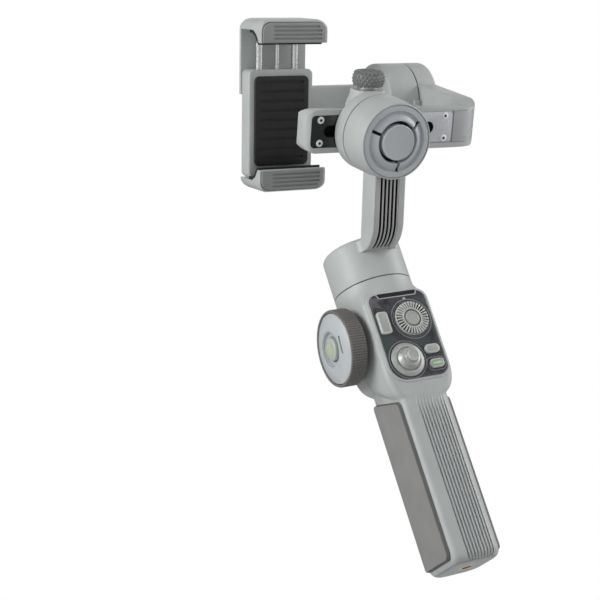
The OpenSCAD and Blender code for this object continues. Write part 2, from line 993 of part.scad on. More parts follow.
// Side view of a band that follows the arm's front face between two insets
module inlay_side(inset_a, inset_b, gap)
    intersection() {
        difference() {
            arm_side(inset_a);
            arm_side(inset_b);
        }
        translate([arm_front - far / 2, inlay_end - gap])
            square([far, inlay_top - inlay_end + 2 * gap]);
    }

module arm_inlay()
    color(DARK)
        difference() {
            on_roll()
                slab_x(-inlay_w / 2, inlay_w / 2)
                    inlay_side(0, inlay_t, 0);
            on_roll()
                for (i = [0 : inlay_grooves - 1])
                    translate([(i - (inlay_grooves - 1) / 2) * inlay_pitch, 0, 0])
                        slab_x(-0.55, 0.55)
                            inlay_side(-cut, inlay_t * 0.6, -2);
        }

// Outside of the roll motor's front cover, from its seam to its rim
module roll_solid()
    rotate_extrude()
        polygon([
            [0, -roll_cover_l],
            [roll_front_r, -roll_cover_l],
            [roll_r, -roll_cover_l * 0.4],
            [roll_r, -seam_gap / 2],
            [0, -seam_gap / 2]
        ]);

module roll_cover()
    color(BODY)
        along_roll()
            difference() {
                roll_solid();
                translate([0, 0, -roll_cover_l - cut])
                    cylinder(r = roll_cap_r, h = cap_t + cut);
                translate([0, 0, roll_floor + cover_wall])
                    ring(roll_r - cover_wall, tube_r, far);
                translate([0, 0, roll_tube_end])
                    cylinder(r = roll_r - cover_wall, h = far);
                translate([0, 0, roll_floor])
                    cylinder(r = bearing_r, h = far);
            }

// A flat rim, and inside it a boss that rises towards the disc
module roll_cap_ring()
    color(DARK)
        along_roll()
            translate([0, 0, -roll_cover_l + 0.2])
                difference() {
                    rotate_extrude()
                        polygon([
                            [cap_disc_r + 0.5, cap_t - 0.2],
                            [roll_cap_r - inset_gap, cap_t - 0.2],
                            [roll_cap_r - inset_gap, 0],
                            [roll_cap_r - cap_band, 0],
                            [roll_cap_r - cap_band - 0.4, 1],
                            [roll_cap_r - cap_band - 0.8, 1],
                            [cap_disc_r + cap_lip, -cap_boss],
                            [cap_disc_r + 0.9, -cap_boss],
                            [cap_disc_r + 0.5, 1]
                        ]);
                    for (a = [35, 155, 275])
                        rotate([0, 0, a])
                            translate([cap_disc_r, -0.7, -cap_boss - cut])
                                cube([roll_cap_r - cap_disc_r - 2.4, 1.4, cap_boss + cut + 1.6]);
                }

module roll_cap_disc()
    color(DARK)
        along_roll()
            translate([0, 0, -roll_cover_l - cap_rise])
                cylinder(r1 = cap_disc_r - 0.5, r2 = cap_disc_r, h = cap_t + cap_rise);

module roll_stator()
    color(COPPER)
        along_roll()
            translate([0, 0, roll_floor + cover_wall])
                stator(tube_r, roll_r - cover_wall - 2 * air_gap - magnet_t, -roll_floor - cover_wall - 3, 12);

module roll_bearings()
    color(METAL)
        along_roll()
            for (z = [roll_floor, roll_tube_end - bearing_t])
                translate([0, 0, z])
                    bearing();

// The bell is closed on the side of the cross arm and opens towards the user
module roll_rotor()
    color(METAL)
        along_roll()
            rotor(
                roll_r - cover_wall - air_gap,
                roll_bell,
                seam_gap / 2 - bell_t,
                roll_floor + 0.4,
                seam_gap / 2
            );

module roll_housing()
    color(BODY)
        on_bar()
            difference() {
                union() {
                    slab_y(seam_gap / 2, housing_back)
                        housing_outline();
                    // Key that rides in the slot of the arm plate and stops the slide at both ends
                    translate([0, bar_face - 1, 0])
                        rotate([-90, 0, 0])
                            cylinder(r = key_r, h = 1 + plate_t + slot_depth - slide_gap);
                }
                difference() {
                    translate([-far / 2, bar_face - slide_gap, -bar_h / 2 - slide_gap])
                        cube([far, bar_t + 2 * slide_gap, bar_h + 2 * slide_gap]);
                    translate([0, bar_face - 1, 0])
                        rotate([-90, 0, 0])
                            cylinder(r = key_r, h = 1 + plate_t + slot_depth - slide_gap);
                }
                translate([knob_x, knob_y, 0])
                    cylinder(r = lock_screw_r + run_gap, h = far);
            }

// Round housing with a flat pad on top for the knob
module housing_outline() {
    intersection() {
        circle(roll_r);
        translate([-far / 2, -far + housing_top])
            square(far);
    }
    polygon([
        [-flat_x, housing_top],
        [flat_x, housing_top],
        [roll_r * 0.86, roll_r * 0.5],
        [-roll_r * 0.86, roll_r * 0.5]
    ]);
}

module lock_knob()
    color(DARK)
        on_bar()
            translate([knob_x, knob_y, knob_z])
                difference() {
                    rotate_extrude()
                        polygon([
                            [0, 0],
                            [knob_r - 1, 0],
                            [knob_r, 1],
                            [knob_r, knob_h - 1],
                            [knob_r - 1, knob_h],
                            [knob_r - 2, knob_h - 0.4],
                            [0, knob_h - 0.4]
                        ]);
                    translate([0, 0, -cut])
                        cylinder(r = lock_screw_r, h = knob_h - 2 + cut);
                }

module lock_screw()
    color(METAL)
        on_bar()
            translate([knob_x, knob_y, bar_h / 2 + slide_gap])
                cylinder(r = lock_screw_r, h = knob_z + knob_h - 2 - bar_h / 2 - slide_gap);

// Plan of the bar and its leg, with the round corner between them
module arm_plan() {
    translate([-bar_left, bar_face])
        square([bar_left + leg_x - corner_r, bar_t]);
    translate([leg_in, bar_face + corner_r])
        square([leg_t, tilt_back - bar_face - corner_r]);
    translate([leg_x - corner_r, bar_face + corner_r])
        intersection() {
            circle(corner_r);
            translate([0, -corner_r])
                square(corner_r);
        }
}

module corner_plan() {
    difference() {
        arm_plan();
        translate([plate_right + 0.2 - far, -far / 2])
            square([far, 2 * far]);
        translate([leg_x - corner_r, bar_face + corner_r])
            circle(corner_r - corner_t);
        translate([plate_right - cut, bar_face + corner_t])
            square([leg_x - corner_r - plate_right + cut, bar_t]);
        translate([leg_in - cut, bar_face + corner_r])
            square([leg_t - corner_t + cut, far]);
        translate([leg_in - cut, corner_end])
            square(far);
    }
}

module cross_arm()
    color(BODY)
        difference() {
            on_bar()
                translate([0, 0, -bar_h / 2])
                    linear_extrude(bar_h)
                        difference() {
                            arm_plan();
                            corner_plan();
                        }
            on_bar()
                slab_y(bar_face - cut, bar_face + plate_t)
                    plate_outline(inset_gap);
            on_bar()
                slab_y(bar_face - cut, bar_face + plate_t + slot_depth)
                    slot_outline();
            at_plate_screws()
                cylinder(r = plate_screw_r, h = plate_screw_l);
            along_tilt()
                cylinder(r = tilt_r, h = far);
            along_tilt()
                cylinder(r = tilt_r + seam_gap, h = tilt_seam + seam_gap / 2);
        }

module plate_outline(gap)
    translate([(plate_left + plate_right) / 2, 0])
        rounded_rect(plate_right - plate_left + 2 * gap, plate_h + 2 * gap, 2 + gap);

module slot_outline()
    translate([(slot_left + slot_right) / 2, 0])
        rounded_rect(slot_right - slot_left, slot_h, slot_h / 2 - 0.01);

module at_plate_screws()
    on_bar()
        for (x = plate_screw_x, z = [-plate_screw_z, plate_screw_z])
            translate([x, bar_face, z])
                rotate([-90, 0, 0])
                    children();

module arm_plate()
    color(METAL)
        difference() {
            on_bar()
                slab_y(bar_face, bar_face + plate_t)
                    difference() {
                        plate_outline(0);
                        slot_outline();
                    }
            at_plate_screws()
                translate([0, 0, -cut])
                    cylinder(r = plate_screw_r, h = plate_screw_l);
        }

module plate_screws()
    color(METAL)
        at_plate_screws()
            difference() {
                cylinder(r = plate_screw_r, h = plate_screw_l);
                translate([0, 0, -cut])
                    cylinder(r = 0.7, h = cut + 0.9);
            }

module corner_cover()
    color(BODY)
        on_bar()
            translate([0, 0, -bar_h / 2])
                linear_extrude(bar_h)
                    corner_plan();

module tilt_housing()
    color(BODY)
        along_tilt()
            difference() {
                union() {
                    translate([0, 0, tilt_seam + seam_gap / 2])
                        cylinder(r = tilt_r, h = tilt_end - tilt_seam - seam_gap / 2 - 2);
                    translate([0, 0, tilt_end - 2])
                        cylinder(r1 = tilt_r, r2 = tilt_r - 2, h = 2);
                    translate([0, 0, tilt_tube])
                        cylinder(r = tube_r, h = tilt_seam - tilt_tube + 1);
                }
                translate([0, 0, tilt_tube - cut])
                    cylinder(r = bearing_r, h = tilt_seam - tilt_tube + bearing_t + cut);
            }

module tilt_stator()
    color(COPPER)
        along_tilt()
            translate([0, 0, tilt_tube + 1])
                stator(tube_r, tilt_r - cover_wall - magnet_t - air_gap, tilt_seam - tilt_tube - 1.4, 12);

module tilt_bearings()
    color(METAL)
        along_tilt()
            for (z = [tilt_tube, tilt_seam])
                translate([0, 0, z])
                    bearing();

module tilt_cover()
    color(BODY)
        along_tilt()
            difference() {
                translate([0, 0, tilt_left])
                    cylinder(r = tilt_r, h = tilt_seam - seam_gap / 2 - tilt_left);
                translate([0, 0, tilt_bell])
                    cylinder(r = tilt_r - cover_wall, h = far);
            }

// The bell is closed on the clamp's side and opens towards the leg
module tilt_rotor()
    color(METAL)
        along_tilt()
            translate([0, 0, tilt_bell])
                mirror([0, 0, 1])
                    translate([0, 0, -bell_t])
                        rotor(
                            tilt_r - cover_wall,
                            -(tilt_seam - 1 - tilt_bell - bell_t),
                            0,
                            -(tilt_seam + bearing_t - 0.4 - tilt_bell - bell_t),
                            bell_t
                        );

module clamp_arm()
    color(BODY)
        on_clamp()
            translate([clamp_right, body_y, -9])
                cube([tilt_left - clamp_right, body_t, 18]);

module clamp_body()
    color(BODY)
        on_clamp()
            difference() {
                translate([clamp_left, body_y, -phone_half - rubber_t])
                    cube([jaw_w, body_t, body_top + phone_half + rubber_t]);
                for (s = [-1, 1])
                    translate([-clamp_x + s * rod_x, rod_y, rod_floor])
                        cylinder(r = rod_r + run_gap, h = far);
                translate([-clamp_x, rod_y, spring_floor])
                    cylinder(r = spring_bore_r, h = far);
            }

// Side view of a jaw's hook, for an upper jaw
module hook_outline() {
    translate([-jaw_front, jaw_inner])
        square([jaw_front + body_back, jaw_outer - jaw_inner]);
    translate([-jaw_front, phone_half - lip])
        square([jaw_front - lip_in, jaw_outer - phone_half + lip]);
}

module lower_jaw()
    color(BODY)
        on_clamp()
            slab_x(clamp_left, clamp_right)
                mirror([0, 1])
                    hook_outline();

// Rubber lining of a hook, between the phone and the jaw
module hook_rubber()
    slab_x(clamp_left + jaw_side, clamp_right - jaw_side) {
        translate([-lip_in, phone_half])
            square([lip_in + body_y - 0.6, rubber_t]);
        translate([-lip_in, phone_half - lip + 0.6])
            square([rubber_t, lip - 0.6]);
    }

module lower_jaw_rubber()
    color(RUBBER)
        on_clamp()
            mirror([0, 0, 1])
                hook_rubber();

module upper_jaw()
    color(BODY)
        on_clamp()
            difference() {
                slab_x(clamp_left, clamp_right) {
                    hook_outline();
                    translate([body_back + skirt_gap, jaw_outer - skirt_h])
                        square([skirt_t, skirt_h]);
                    translate([body_back - cut, jaw_inner])
                        square([skirt_gap + 2 * cut, jaw_outer - jaw_inner]);
                }
                for (s = [-1, 1])
                    translate([-clamp_x + s * rod_x, rod_y, 0])
                        cylinder(r = rod_r, h = jaw_outer - 1.5);
                translate([-clamp_x, rod_y, 0])
                    cylinder(r = post_r, h = jaw_outer - 1.5);
            }

module upper_jaw_rubber()
    color(RUBBER)
        on_clamp()
            hook_rubber();

// Two rods that guide the jaw and the thin post that the spring pulls on
module guide_rods()
    color(METAL)
        on_clamp() {
            for (s = [-1, 1])
                translate([-clamp_x + s * rod_x, rod_y, rod_bottom])
                    cylinder(r = rod_r, h = jaw_outer - 1.5 - rod_bottom);
            translate([-clamp_x, rod_y, post_bottom])
                cylinder(r = post_r, h = jaw_outer - 1.5 - post_bottom);
        }

// Closed coils joined by one wire, standing for the tension spring
module clamp_spring()
    color(METAL)
        on_clamp()
            translate([-clamp_x, rod_y, spring_floor + wire_r]) {
                for (i = [0 : spring_turns - 1])
                    translate([0, 0, i * 2.6 * wire_r])
                        rotate_extrude()
                            translate([spring_r, 0])
                                circle(wire_r);
                translate([spring_r, 0, 0])
                    cylinder(r = wire_r * 0.8, h = (spring_turns - 1) * 2.6 * wire_r);
            }

rear_shell();
front_shell();
shell_screws();
left_grip_pad();
right_grip_pad();
base_cap();
thread_insert();
battery_cell();
main_board();
control_board();
panel_window();
dial_post();
joystick_collar();
charging_port();
wheel_axle();
trigger_pin();
pan_base();
pan_stator();
pan_bearings();
focus_wheel();
wheel_disc();
wheel_button();
dial_ring();
dial_button();
record_button();
menu_button();
mode_button();
joystick_yoke();
joystick_stick();
trigger();
pan_cover();
pan_rotor();
pan_arm();
arm_inlay();
roll_cover();
roll_cap_ring();
roll_cap_disc();
roll_stator();
roll_bearings();
roll_housing();
roll_rotor();
lock_knob();
lock_screw();
cross_arm();
arm_plate();
plate_screws();
corner_cover();
tilt_housing();
tilt_stator();
tilt_bearings();
tilt_cover();
tilt_rotor();
clamp_arm();
clamp_body();
lower_jaw();
lower_jaw_rubber();
upper_jaw();
upper_jaw_rubber();
guide_rods();
clamp_spring();
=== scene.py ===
"""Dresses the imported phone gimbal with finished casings, controls and materials."""

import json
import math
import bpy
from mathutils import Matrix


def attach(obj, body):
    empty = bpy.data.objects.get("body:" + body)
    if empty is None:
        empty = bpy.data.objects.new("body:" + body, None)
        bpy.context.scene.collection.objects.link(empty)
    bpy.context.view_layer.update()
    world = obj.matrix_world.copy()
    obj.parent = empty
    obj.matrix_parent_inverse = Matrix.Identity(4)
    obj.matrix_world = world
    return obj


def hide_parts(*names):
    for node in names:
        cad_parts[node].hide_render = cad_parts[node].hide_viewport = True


bl_info = {
    "name": "Phone gimbal stabiliser",
    "version": (1, 0, 0),
    "blender": (4, 5, 0),
    "location": "View3D > Sidebar > Gimbal",
    "description": "Builds the casings, controls, clamp and finishes of a phone gimbal on its packed frame",
    "category": "Object",
}

import bpy
from mathutils import Matrix, Vector

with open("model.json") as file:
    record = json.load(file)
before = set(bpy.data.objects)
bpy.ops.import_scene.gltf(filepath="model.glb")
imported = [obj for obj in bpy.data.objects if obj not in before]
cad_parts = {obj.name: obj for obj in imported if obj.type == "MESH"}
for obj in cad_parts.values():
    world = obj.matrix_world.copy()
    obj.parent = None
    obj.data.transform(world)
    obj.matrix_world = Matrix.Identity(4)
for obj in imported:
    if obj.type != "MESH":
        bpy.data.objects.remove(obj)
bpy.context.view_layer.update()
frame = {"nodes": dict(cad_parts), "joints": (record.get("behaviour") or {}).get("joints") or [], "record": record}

MM = 0.001
JOINTS = {j["name"]: j for j in frame["joints"]}
SLOT_OF = {s["node"]: s["material_slot"] for s in frame["record"]["subparts"]}


# Frames that pieces are seated in

def turn(axis, degrees):
    return Matrix.Rotation(math.radians(degrees), 4, axis)


def shift(x, y, z):
    return Matrix.Translation((x * MM, y * MM, z * MM))


def frame_at(joint, x_axis, y_axis):
    """A frame at a joint, with its X and Y along two square axes of the part."""
    x, y = Vector(x_axis).normalized(), Vector(y_axis).normalized()
    axes = Matrix((x, y, x.cross(y))).transposed().to_4x4()
    return Matrix.Translation(Vector(JOINTS[joint]["pos_m"])) @ axes


ROLL_AXIS, BAR_AXIS, JAW_AXIS = (Vector(JOINTS[j]["axis"]) for j in ("roll_turn", "arm_slide", "jaw_slide"))
ROLL = frame_at("roll_turn", (1, 0, 0), ROLL_AXIS)
BAR = frame_at("roll_turn", BAR_AXIS, ROLL_AXIS)
CLAMP = frame_at("tilt_turn", BAR_AXIS, JAW_AXIS.cross(BAR_AXIS))
PAN = Matrix.Translation(Vector(JOINTS["pan_turn"]["pos_m"]))
PANEL = shift(0, -18.65, 0) @ turn("X", 90)
WHEEL = shift(-19.5, 2.8, 125.1) @ turn("Y", -90)
KNOB = shift(1, 16.7, 0)
HOME = Matrix()

# Local Z along the roll axis, local Z towards the user, local Z to the right, local outline in Y and Z
AWAY = turn("X", -90)
UPRIGHT = turn("X", 90)
RIGHT = turn("Y", 90)
SIDEWAYS = turn("Z", 90) @ turn("X", 90)


# Sizes and colours

def srgb(*values):
    """Linear colour of an sRGB colour given from 0 to 255."""
    return tuple(((v / 255 + 0.055) / 1.055) ** 2.4 if v > 10 else v / 255 / 12.92 for v in values)


class GimbalSizes(bpy.types.PropertyGroup):
    rib_depth: bpy.props.FloatProperty(
        name="Rib depth", description="Depth of the grooves down the grip, in millimetres",
        default=1.1, min=0.1, max=1.4,
    )
    wheel_ribs: bpy.props.IntProperty(
        name="Wheel ribs", description="Number of ribs round the focus wheel", default=92, min=40, max=140
    )
    knurl_depth: bpy.props.FloatProperty(
        name="Knurl depth", description="Depth of the lock knob's knurling, in millimetres",
        default=0.4, min=0.1, max=0.8,
    )
    dial_teeth: bpy.props.IntProperty(
        name="Dial teeth", description="Number of raised teeth round the dial", default=32, min=16, max=48
    )


class GimbalColours(bpy.types.PropertyGroup):
    casing: bpy.props.FloatVectorProperty(
        name="Casing", description="Light cool grey of the casings", subtype="COLOR", default=srgb(177, 181, 180)
    )
    trim: bpy.props.FloatVectorProperty(
        name="Trim", description="Darker grey of the jaws' pads", subtype="COLOR", default=srgb(138, 139, 139)
    )
    rubber: bpy.props.FloatVectorProperty(
        name="Grip rubber", description="Warm grey of the grip pads", subtype="COLOR", default=srgb(136, 136, 134)
    )
    wheel: bpy.props.FloatVectorProperty(
        name="Wheel rim", description="Warm dark grey of the focus wheel", subtype="COLOR", default=srgb(114, 112, 109)
    )
    cap: bpy.props.FloatVectorProperty(
        name="Cap", description="Bluish grey of the roll motor's cap", subtype="COLOR", default=srgb(178, 182, 186)
    )
    button: bpy.props.FloatVectorProperty(
        name="Buttons", description="Pale grey of the keys", subtype="COLOR", default=srgb(192, 195, 190)
    )
    light: bpy.props.FloatVectorProperty(
        name="Light", description="Green of the mode light", subtype="COLOR", default=srgb(170, 224, 148)
    )


def sizes():
    return bpy.context.scene.gimbal_sizes


# Selecting, editing and applying

def deselect():
    if bpy.context.mode != "OBJECT":
        bpy.ops.object.mode_set(mode="OBJECT")
    bpy.ops.object.select_all(action="DESELECT")


def pick(*objs):
    deselect()
    for obj in objs:
        obj.select_set(True)
    bpy.context.view_layer.objects.active = objs[0]


def edit_all(obj):
    pick(obj)
    bpy.ops.object.mode_set(mode="EDIT")
    bpy.ops.mesh.select_all(action="SELECT")


def recalculate(obj):
    edit_all(obj)
    bpy.ops.mesh.remove_doubles(threshold=1e-6)
    bpy.ops.mesh.delete_loose()
    bpy.ops.mesh.select_all(action="SELECT")
    bpy.ops.mesh.normals_make_consistent(inside=False)
    deselect()
    return obj


def use_modifier(obj, kind, **settings):
    modifier = obj.modifiers.new(kind.lower(), kind)
    for key, value in settings.items():
        setattr(modifier, key, value)
    pick(obj)
    bpy.ops.object.modifier_apply(modifier=modifier.name)


def soften(obj, width, segments=3, angle=35):
    use_modifier(
        obj, "BEVEL", width=width * MM, segments=segments, limit_method="ANGLE", angle_limit=math.radians(angle),
        use_clamp_overlap=True, miter_outer="MITER_ARC",
    )


def soften_by(obj, width, share, segments, angle=40):
    """Rounds the sharp edges by a share of one width, worked out from each edge's middle."""
    mesh = obj.data
    faces_of = {}
    for polygon in mesh.polygons:
        for key in polygon.edge_keys:
            faces_of.setdefault(key, []).append(polygon.normal)
    weights = mesh.attributes.new("bevel_weight_edge", "FLOAT", "EDGE")
    for edge in mesh.edges:
        normals = faces_of.get(tuple(sorted(edge.vertices)), [])
        if len(normals) == 2 and normals[0].angle(normals[1], 0) > math.radians(angle):
            a, b = (mesh.vertices[i].co for i in edge.vertices)
            weights.data[edge.index].value = share(*((a + b) / 2 / MM))
    use_modifier(obj, "BEVEL", width=width * MM, segments=segments, limit_method="WEIGHT", use_clamp_overlap=True)


def carve(obj, *tools, operation="DIFFERENCE"):
    for tool in tools:
        use_modifier(obj, "BOOLEAN", operation=operation, object=tool, solver="EXACT")
        bpy.data.objects.remove(tool)
    return obj


def merge(*objs):
    pick(*objs)
    bpy.ops.object.join()
    return objs[0]


def seat(obj, matrix):
    obj.matrix_world = matrix
    pick(obj)
    bpy.ops.object.transform_apply(location=True, rotation=True, scale=True)
    return obj


def copy_of(obj):
    pick(obj)
    bpy.ops.object.duplicate()
    return bpy.context.object


def place(obj, function):
    for v in obj.data.vertices:
        v.co = Vector(function(*(v.co / MM))) * MM
    obj.data.update()
    return obj


def keep(name, obj, matrix, body, finish, node=None, smooth=35):
    """Seats, names and shades a finished piece and puts it on its body."""
    seat(obj, matrix)
    obj.name = name
    bpy.ops.object.shade_smooth_by_angle(angle=math.radians(smooth))
    obj.data.materials.clear()
    obj.data.materials.append(finishes()[finish])
    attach(obj, body)
    if node:
        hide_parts(node)


# Outlines and basic solids, in millimetres

def arc(x, y, radius, angles):
    """Points round a centre, at angles in degrees."""
    return [(x + radius * math.cos(a), y + radius * math.sin(a)) for a in map(math.radians, angles)]


def filleted(corners, steps=6):
    """Points of a closed outline whose corners (x, y, radius) are rounded, and (x, y) are not."""
    points = []
    for i, (x, y, *radius) in enumerate(corners):
        if not radius:
            points.append((x, y))
            continue
        radius = radius[0]
        here = Vector((x, y))
        before = (Vector(corners[i - 1][:2]) - here).normalized()
        after = (Vector(corners[(i + 1) % len(corners)][:2]) - here).normalized()
        half = before.angle(after) / 2
        start = here + before * (radius / math.tan(half))
        end = here + after * (radius / math.tan(half))
        centre = here + (before + after).normalized() * (radius / math.sin(half))
        first = math.atan2(start.y - centre.y, start.x - centre.x)
        sweep = math.atan2(end.y - centre.y, end.x - centre.x) - first
        sweep = (sweep + math.pi) % (2 * math.pi) - math.pi
        for k in range(steps + 1):
            a = first + sweep * k / steps
            points.append((centre.x + radius * math.cos(a), centre.y + radius * math.sin(a)))
    return points


def rounded_box(x0, y0, x1, y1, radius, steps=6):
    return filleted([(x0, y0, radius), (x1, y0, radius), (x1, y1, radius), (x0, y1, radius)], steps)


def centred_box(x, y, w, h, radius):
    return rounded_box(x - w / 2, y - h / 2, x + w / 2, y + h / 2, radius)


def outline_face(points, fill="NGON"):
    """A mesh with its corners at points (x, y) of the ground plane."""
    deselect()
    bpy.ops.mesh.primitive_circle_add(vertices=len(points), radius=1, fill_type=fill)
    obj = bpy.context.object
    for v, (x, y) in zip(obj.data.vertices, points):
        v.co = (x * MM, y * MM, 0)
    return obj


def prism(corners, low, high, bevel=0, segments=3, fine=6):
    """An outline pushed from one height to another, with rounded edges."""
    obj = outline_face(filleted(corners, fine))
    edit_all(obj)
    bpy.ops.mesh.extrude_region_move(TRANSFORM_OT_translate={"value": (0, 0, (high - low) * MM)})
    deselect()
    recalculate(obj)
    place(obj, lambda x, y, z: (x, y, z + low))
    if bevel:
        soften(obj, bevel, segments)
    return obj


def turned(corners, fine=6, steps=96):
    """A closed profile of (radius, height) turned round Z, as on a lathe."""
    obj = outline_face(filleted(corners, fine), "NOTHING")
    for v in obj.data.vertices:
        v.co = (v.co.x, 0, v.co.y)
    edit_all(obj)
    bpy.ops.mesh.spin(steps=steps, angle=2 * math.pi, center=(0, 0, 0), axis=(0, 0, 1))
    deselect()
    return recalculate(obj)


def block(x0, y0, z0, x1, y1, z1, bevel=0):
    deselect()
    bpy.ops.mesh.primitive_cube_add(size=1)
    obj = bpy.context.object
    place(obj, lambda x, y, z: (x0 if x < 0 else x1, y0 if y < 0 else y1, z0 if z < 0 else z1))
    if bevel:
        soften(obj, bevel, 2)
    return obj


def rod(radius, low, high, sides=48):
    return turned([(0, low), (radius, low), (radius, high), (0, high)], steps=sides)


def round_array(obj, count):
    """Copies of a piece round Z, joined into one mesh."""
    copies = [seat(copy_of(obj), turn("Z", 360 * i / count)) for i in range(count)]
    bpy.data.objects.remove(obj)
    return merge(*copies)


# Materials

def add(tree, kind, values=None, **links):
    """A node with values in some sockets and links to others."""
    node = tree.nodes.new("ShaderNode" + kind)
    for key, value in (values or {}).items():
        node.inputs[key].default_value = value
    for key, source in links.items():
        tree.links.new(source, node.inputs[key])
    return node


def new_material(name, **values):
    """A material with its shader's sockets set, and the coordinates on the object."""
    material = bpy.data.materials.new(name)
    material.use_nodes = True
    tree = material.node_tree
    shader = tree.nodes["Principled BSDF"]
    for key, value in values.items():
        shader.inputs[key.replace("_", " ").title()].default_value = value
    return material, tree, shader.inputs, add(tree, "TexCoord").outputs["Object"]


def noise(tree, where, scale, detail=2.0, stretch=None, rough=0.5):
    if stretch:
        where = add(tree, "Mapping", {"Scale": stretch}, Vector=where).outputs["Vector"]
    return add(tree, "TexNoise", {"Scale": scale, "Detail": detail, "Roughness": rough}, Vector=where).outputs["Fac"]


def spread(tree, fac, socket, low, high, a=0.3, b=0.7):
    """Drives a socket by a value, from low at a to high at b."""
    span = {"From Min": a, "From Max": b, "To Min": low, "To Max": high}
    tree.links.new(add(tree, "MapRange", span, Value=fac).outputs["Result"], socket)


def ramp(tree, fac, socket, *stops):
    """Colours a socket by a ramp of (position, colour)."""
    node = add(tree, "ValToRGB", Fac=fac)
    elements = node.color_ramp.elements
    for position, colour in stops[1:-1]:
        elements.new(position).color = (*colour, 1)
    for element, (position, colour) in ((elements[0], stops[0]), (elements[-1], stops[-1])):
        element.position = position
        element.color = (*colour, 1)
    tree.links.new(node.outputs["Color"], socket)


def mottle_by(tree, fac, socket, colour, dark, light):
    """Varies one colour between a darker and a lighter share of it."""
    low, high = (tuple(min(1.0, c * share) for c in colour) for share in (dark, light))
    ramp(tree, fac, socket, (0.3, low), (0.7, high))


def bump(tree, fac, socket, strength, depth):
    node = add(tree, "Bump", {"Strength": strength, "Distance": depth * MM}, Height=fac)
    tree.links.new(node.outputs["Normal"], socket)


def moulded(name, colour, rough=0.42, grain=0.12, mottle=0.05, grain_size=0.22, coat=0.0):
    """Moulded plastic or rubber: spark-eroded grain, faint mottling and uneven gloss."""
    material, tree, shader, where = new_material(name, coat_weight=coat, coat_roughness=0.25)
    mottle_by(tree, noise(tree, where, 60, 3), shader["Base Color"], colour, 1 - mottle, 1 + mottle)
    spread(tree, noise(tree, where, 180), shader["Roughness"], rough - 0.05, rough + 0.05)
    bump(tree, noise(tree, where, 1000 / grain_size), shader["Normal"], grain, 0.05)
    return material


def machined(name, colour, rough=0.3, stretch=(1, 1, 12), scratch=0.12, metallic=1.0):
    """Brushed or turned metal, with fine lines along one direction."""
    material, tree, shader, where = new_material(name, metallic=metallic)
    lines = noise(tree, where, 420, 3, stretch)
    mottle_by(tree, lines, shader["Base Color"], colour, 0.9, 1.06)
    spread(tree, lines, shader["Roughness"], rough - 0.07, rough + 0.08)
    bump(tree, lines, shader["Normal"], scratch, 0.02)
    return material


def plate_with_painted_shade():
    """Brushed plate, darker towards the arm's free end: painted shade and a painted dark reflection there, lighter
    towards the leg.
    """
    material, tree, shader, where = new_material("arm_plate_painted_shade", metallic=0.9)
    along = add(tree, "SeparateXYZ", Vector=where).outputs["X"]
    span = add(tree, "MapRange", {"From Min": -0.025, "From Max": 0.03}, Value=along).outputs["Result"]
    # Painted shade and reflection: dark at the arm's free end, pale towards the leg.
    ramp(tree, span, shader["Base Color"], (0.0, srgb(56, 58, 57)), (1.0, srgb(190, 192, 197)))
    lines = noise(tree, where, 420, 3, (12, 1, 1))
    spread(tree, lines, shader["Roughness"], 0.24, 0.36)
    bump(tree, lines, shader["Normal"], 0.03, 0.02)
    return material


def smoked():
    """Smoked plastic, mottled lighter by painted reflections and by the board that shows through it."""
    material, tree, shader, where = new_material("smoked_window", alpha=0.8, coat_weight=0.3)
    # Painted reflection: these greys are lighter than smoked plastic, standing in for reflections on the window and the
    # board behind it.
    ramp(
        tree, noise(tree, where, 90, 5, rough=0.7), shader["Base Color"], (0.3, srgb(56, 53, 62)),
        (0.5, srgb(88, 88, 92)), (0.66, srgb(74, 94, 87)), (1.0, srgb(112, 112, 114)),
    )
    spread(tree, noise(tree, where, 300), shader["Roughness"], 0.08, 0.16)
    return material


def board_finish():
    """Dark circuit board with paler tracks and a faint violet and green cast."""
    material, tree, shader, where = new_material("circuit_board")
    cells = add(tree, "TexVoronoi", {"Scale": 260}, Vector=where)
    cells.feature = "DISTANCE_TO_EDGE"
    mix = add(tree, "Mix")
    mix.data_type = "RGBA"
    mix.blend_type = "MULTIPLY"
    mix.inputs["Factor"].default_value = 0.6
    ramp(tree, cells.outputs["Distance"], mix.inputs["A"], (0.02, srgb(150, 154, 158)), (0.09, srgb(98, 98, 106)))
    ramp(tree, noise(tree, where, 70, 1), mix.inputs["B"], (0.38, srgb(150, 176, 166)), (0.62, srgb(186, 168, 196)))
    tree.links.new(mix.outputs["Result"], shader["Base Color"])
    spread(tree, noise(tree, where, 400), shader["Roughness"], 0.3, 0.5)
    return material


def lit(colour):
    """A small lit lens, a little uneven."""
    material, tree, shader, where = new_material("mode_light", emission_strength=0.1, roughness=0.3)
    fac = noise(tree, where, 500, 1)
    for socket in ("Base Color", "Emission Color"):
        mottle_by(tree, fac, shader[socket], colour, 0.8, 1.1)
    return material


FINISH = {}


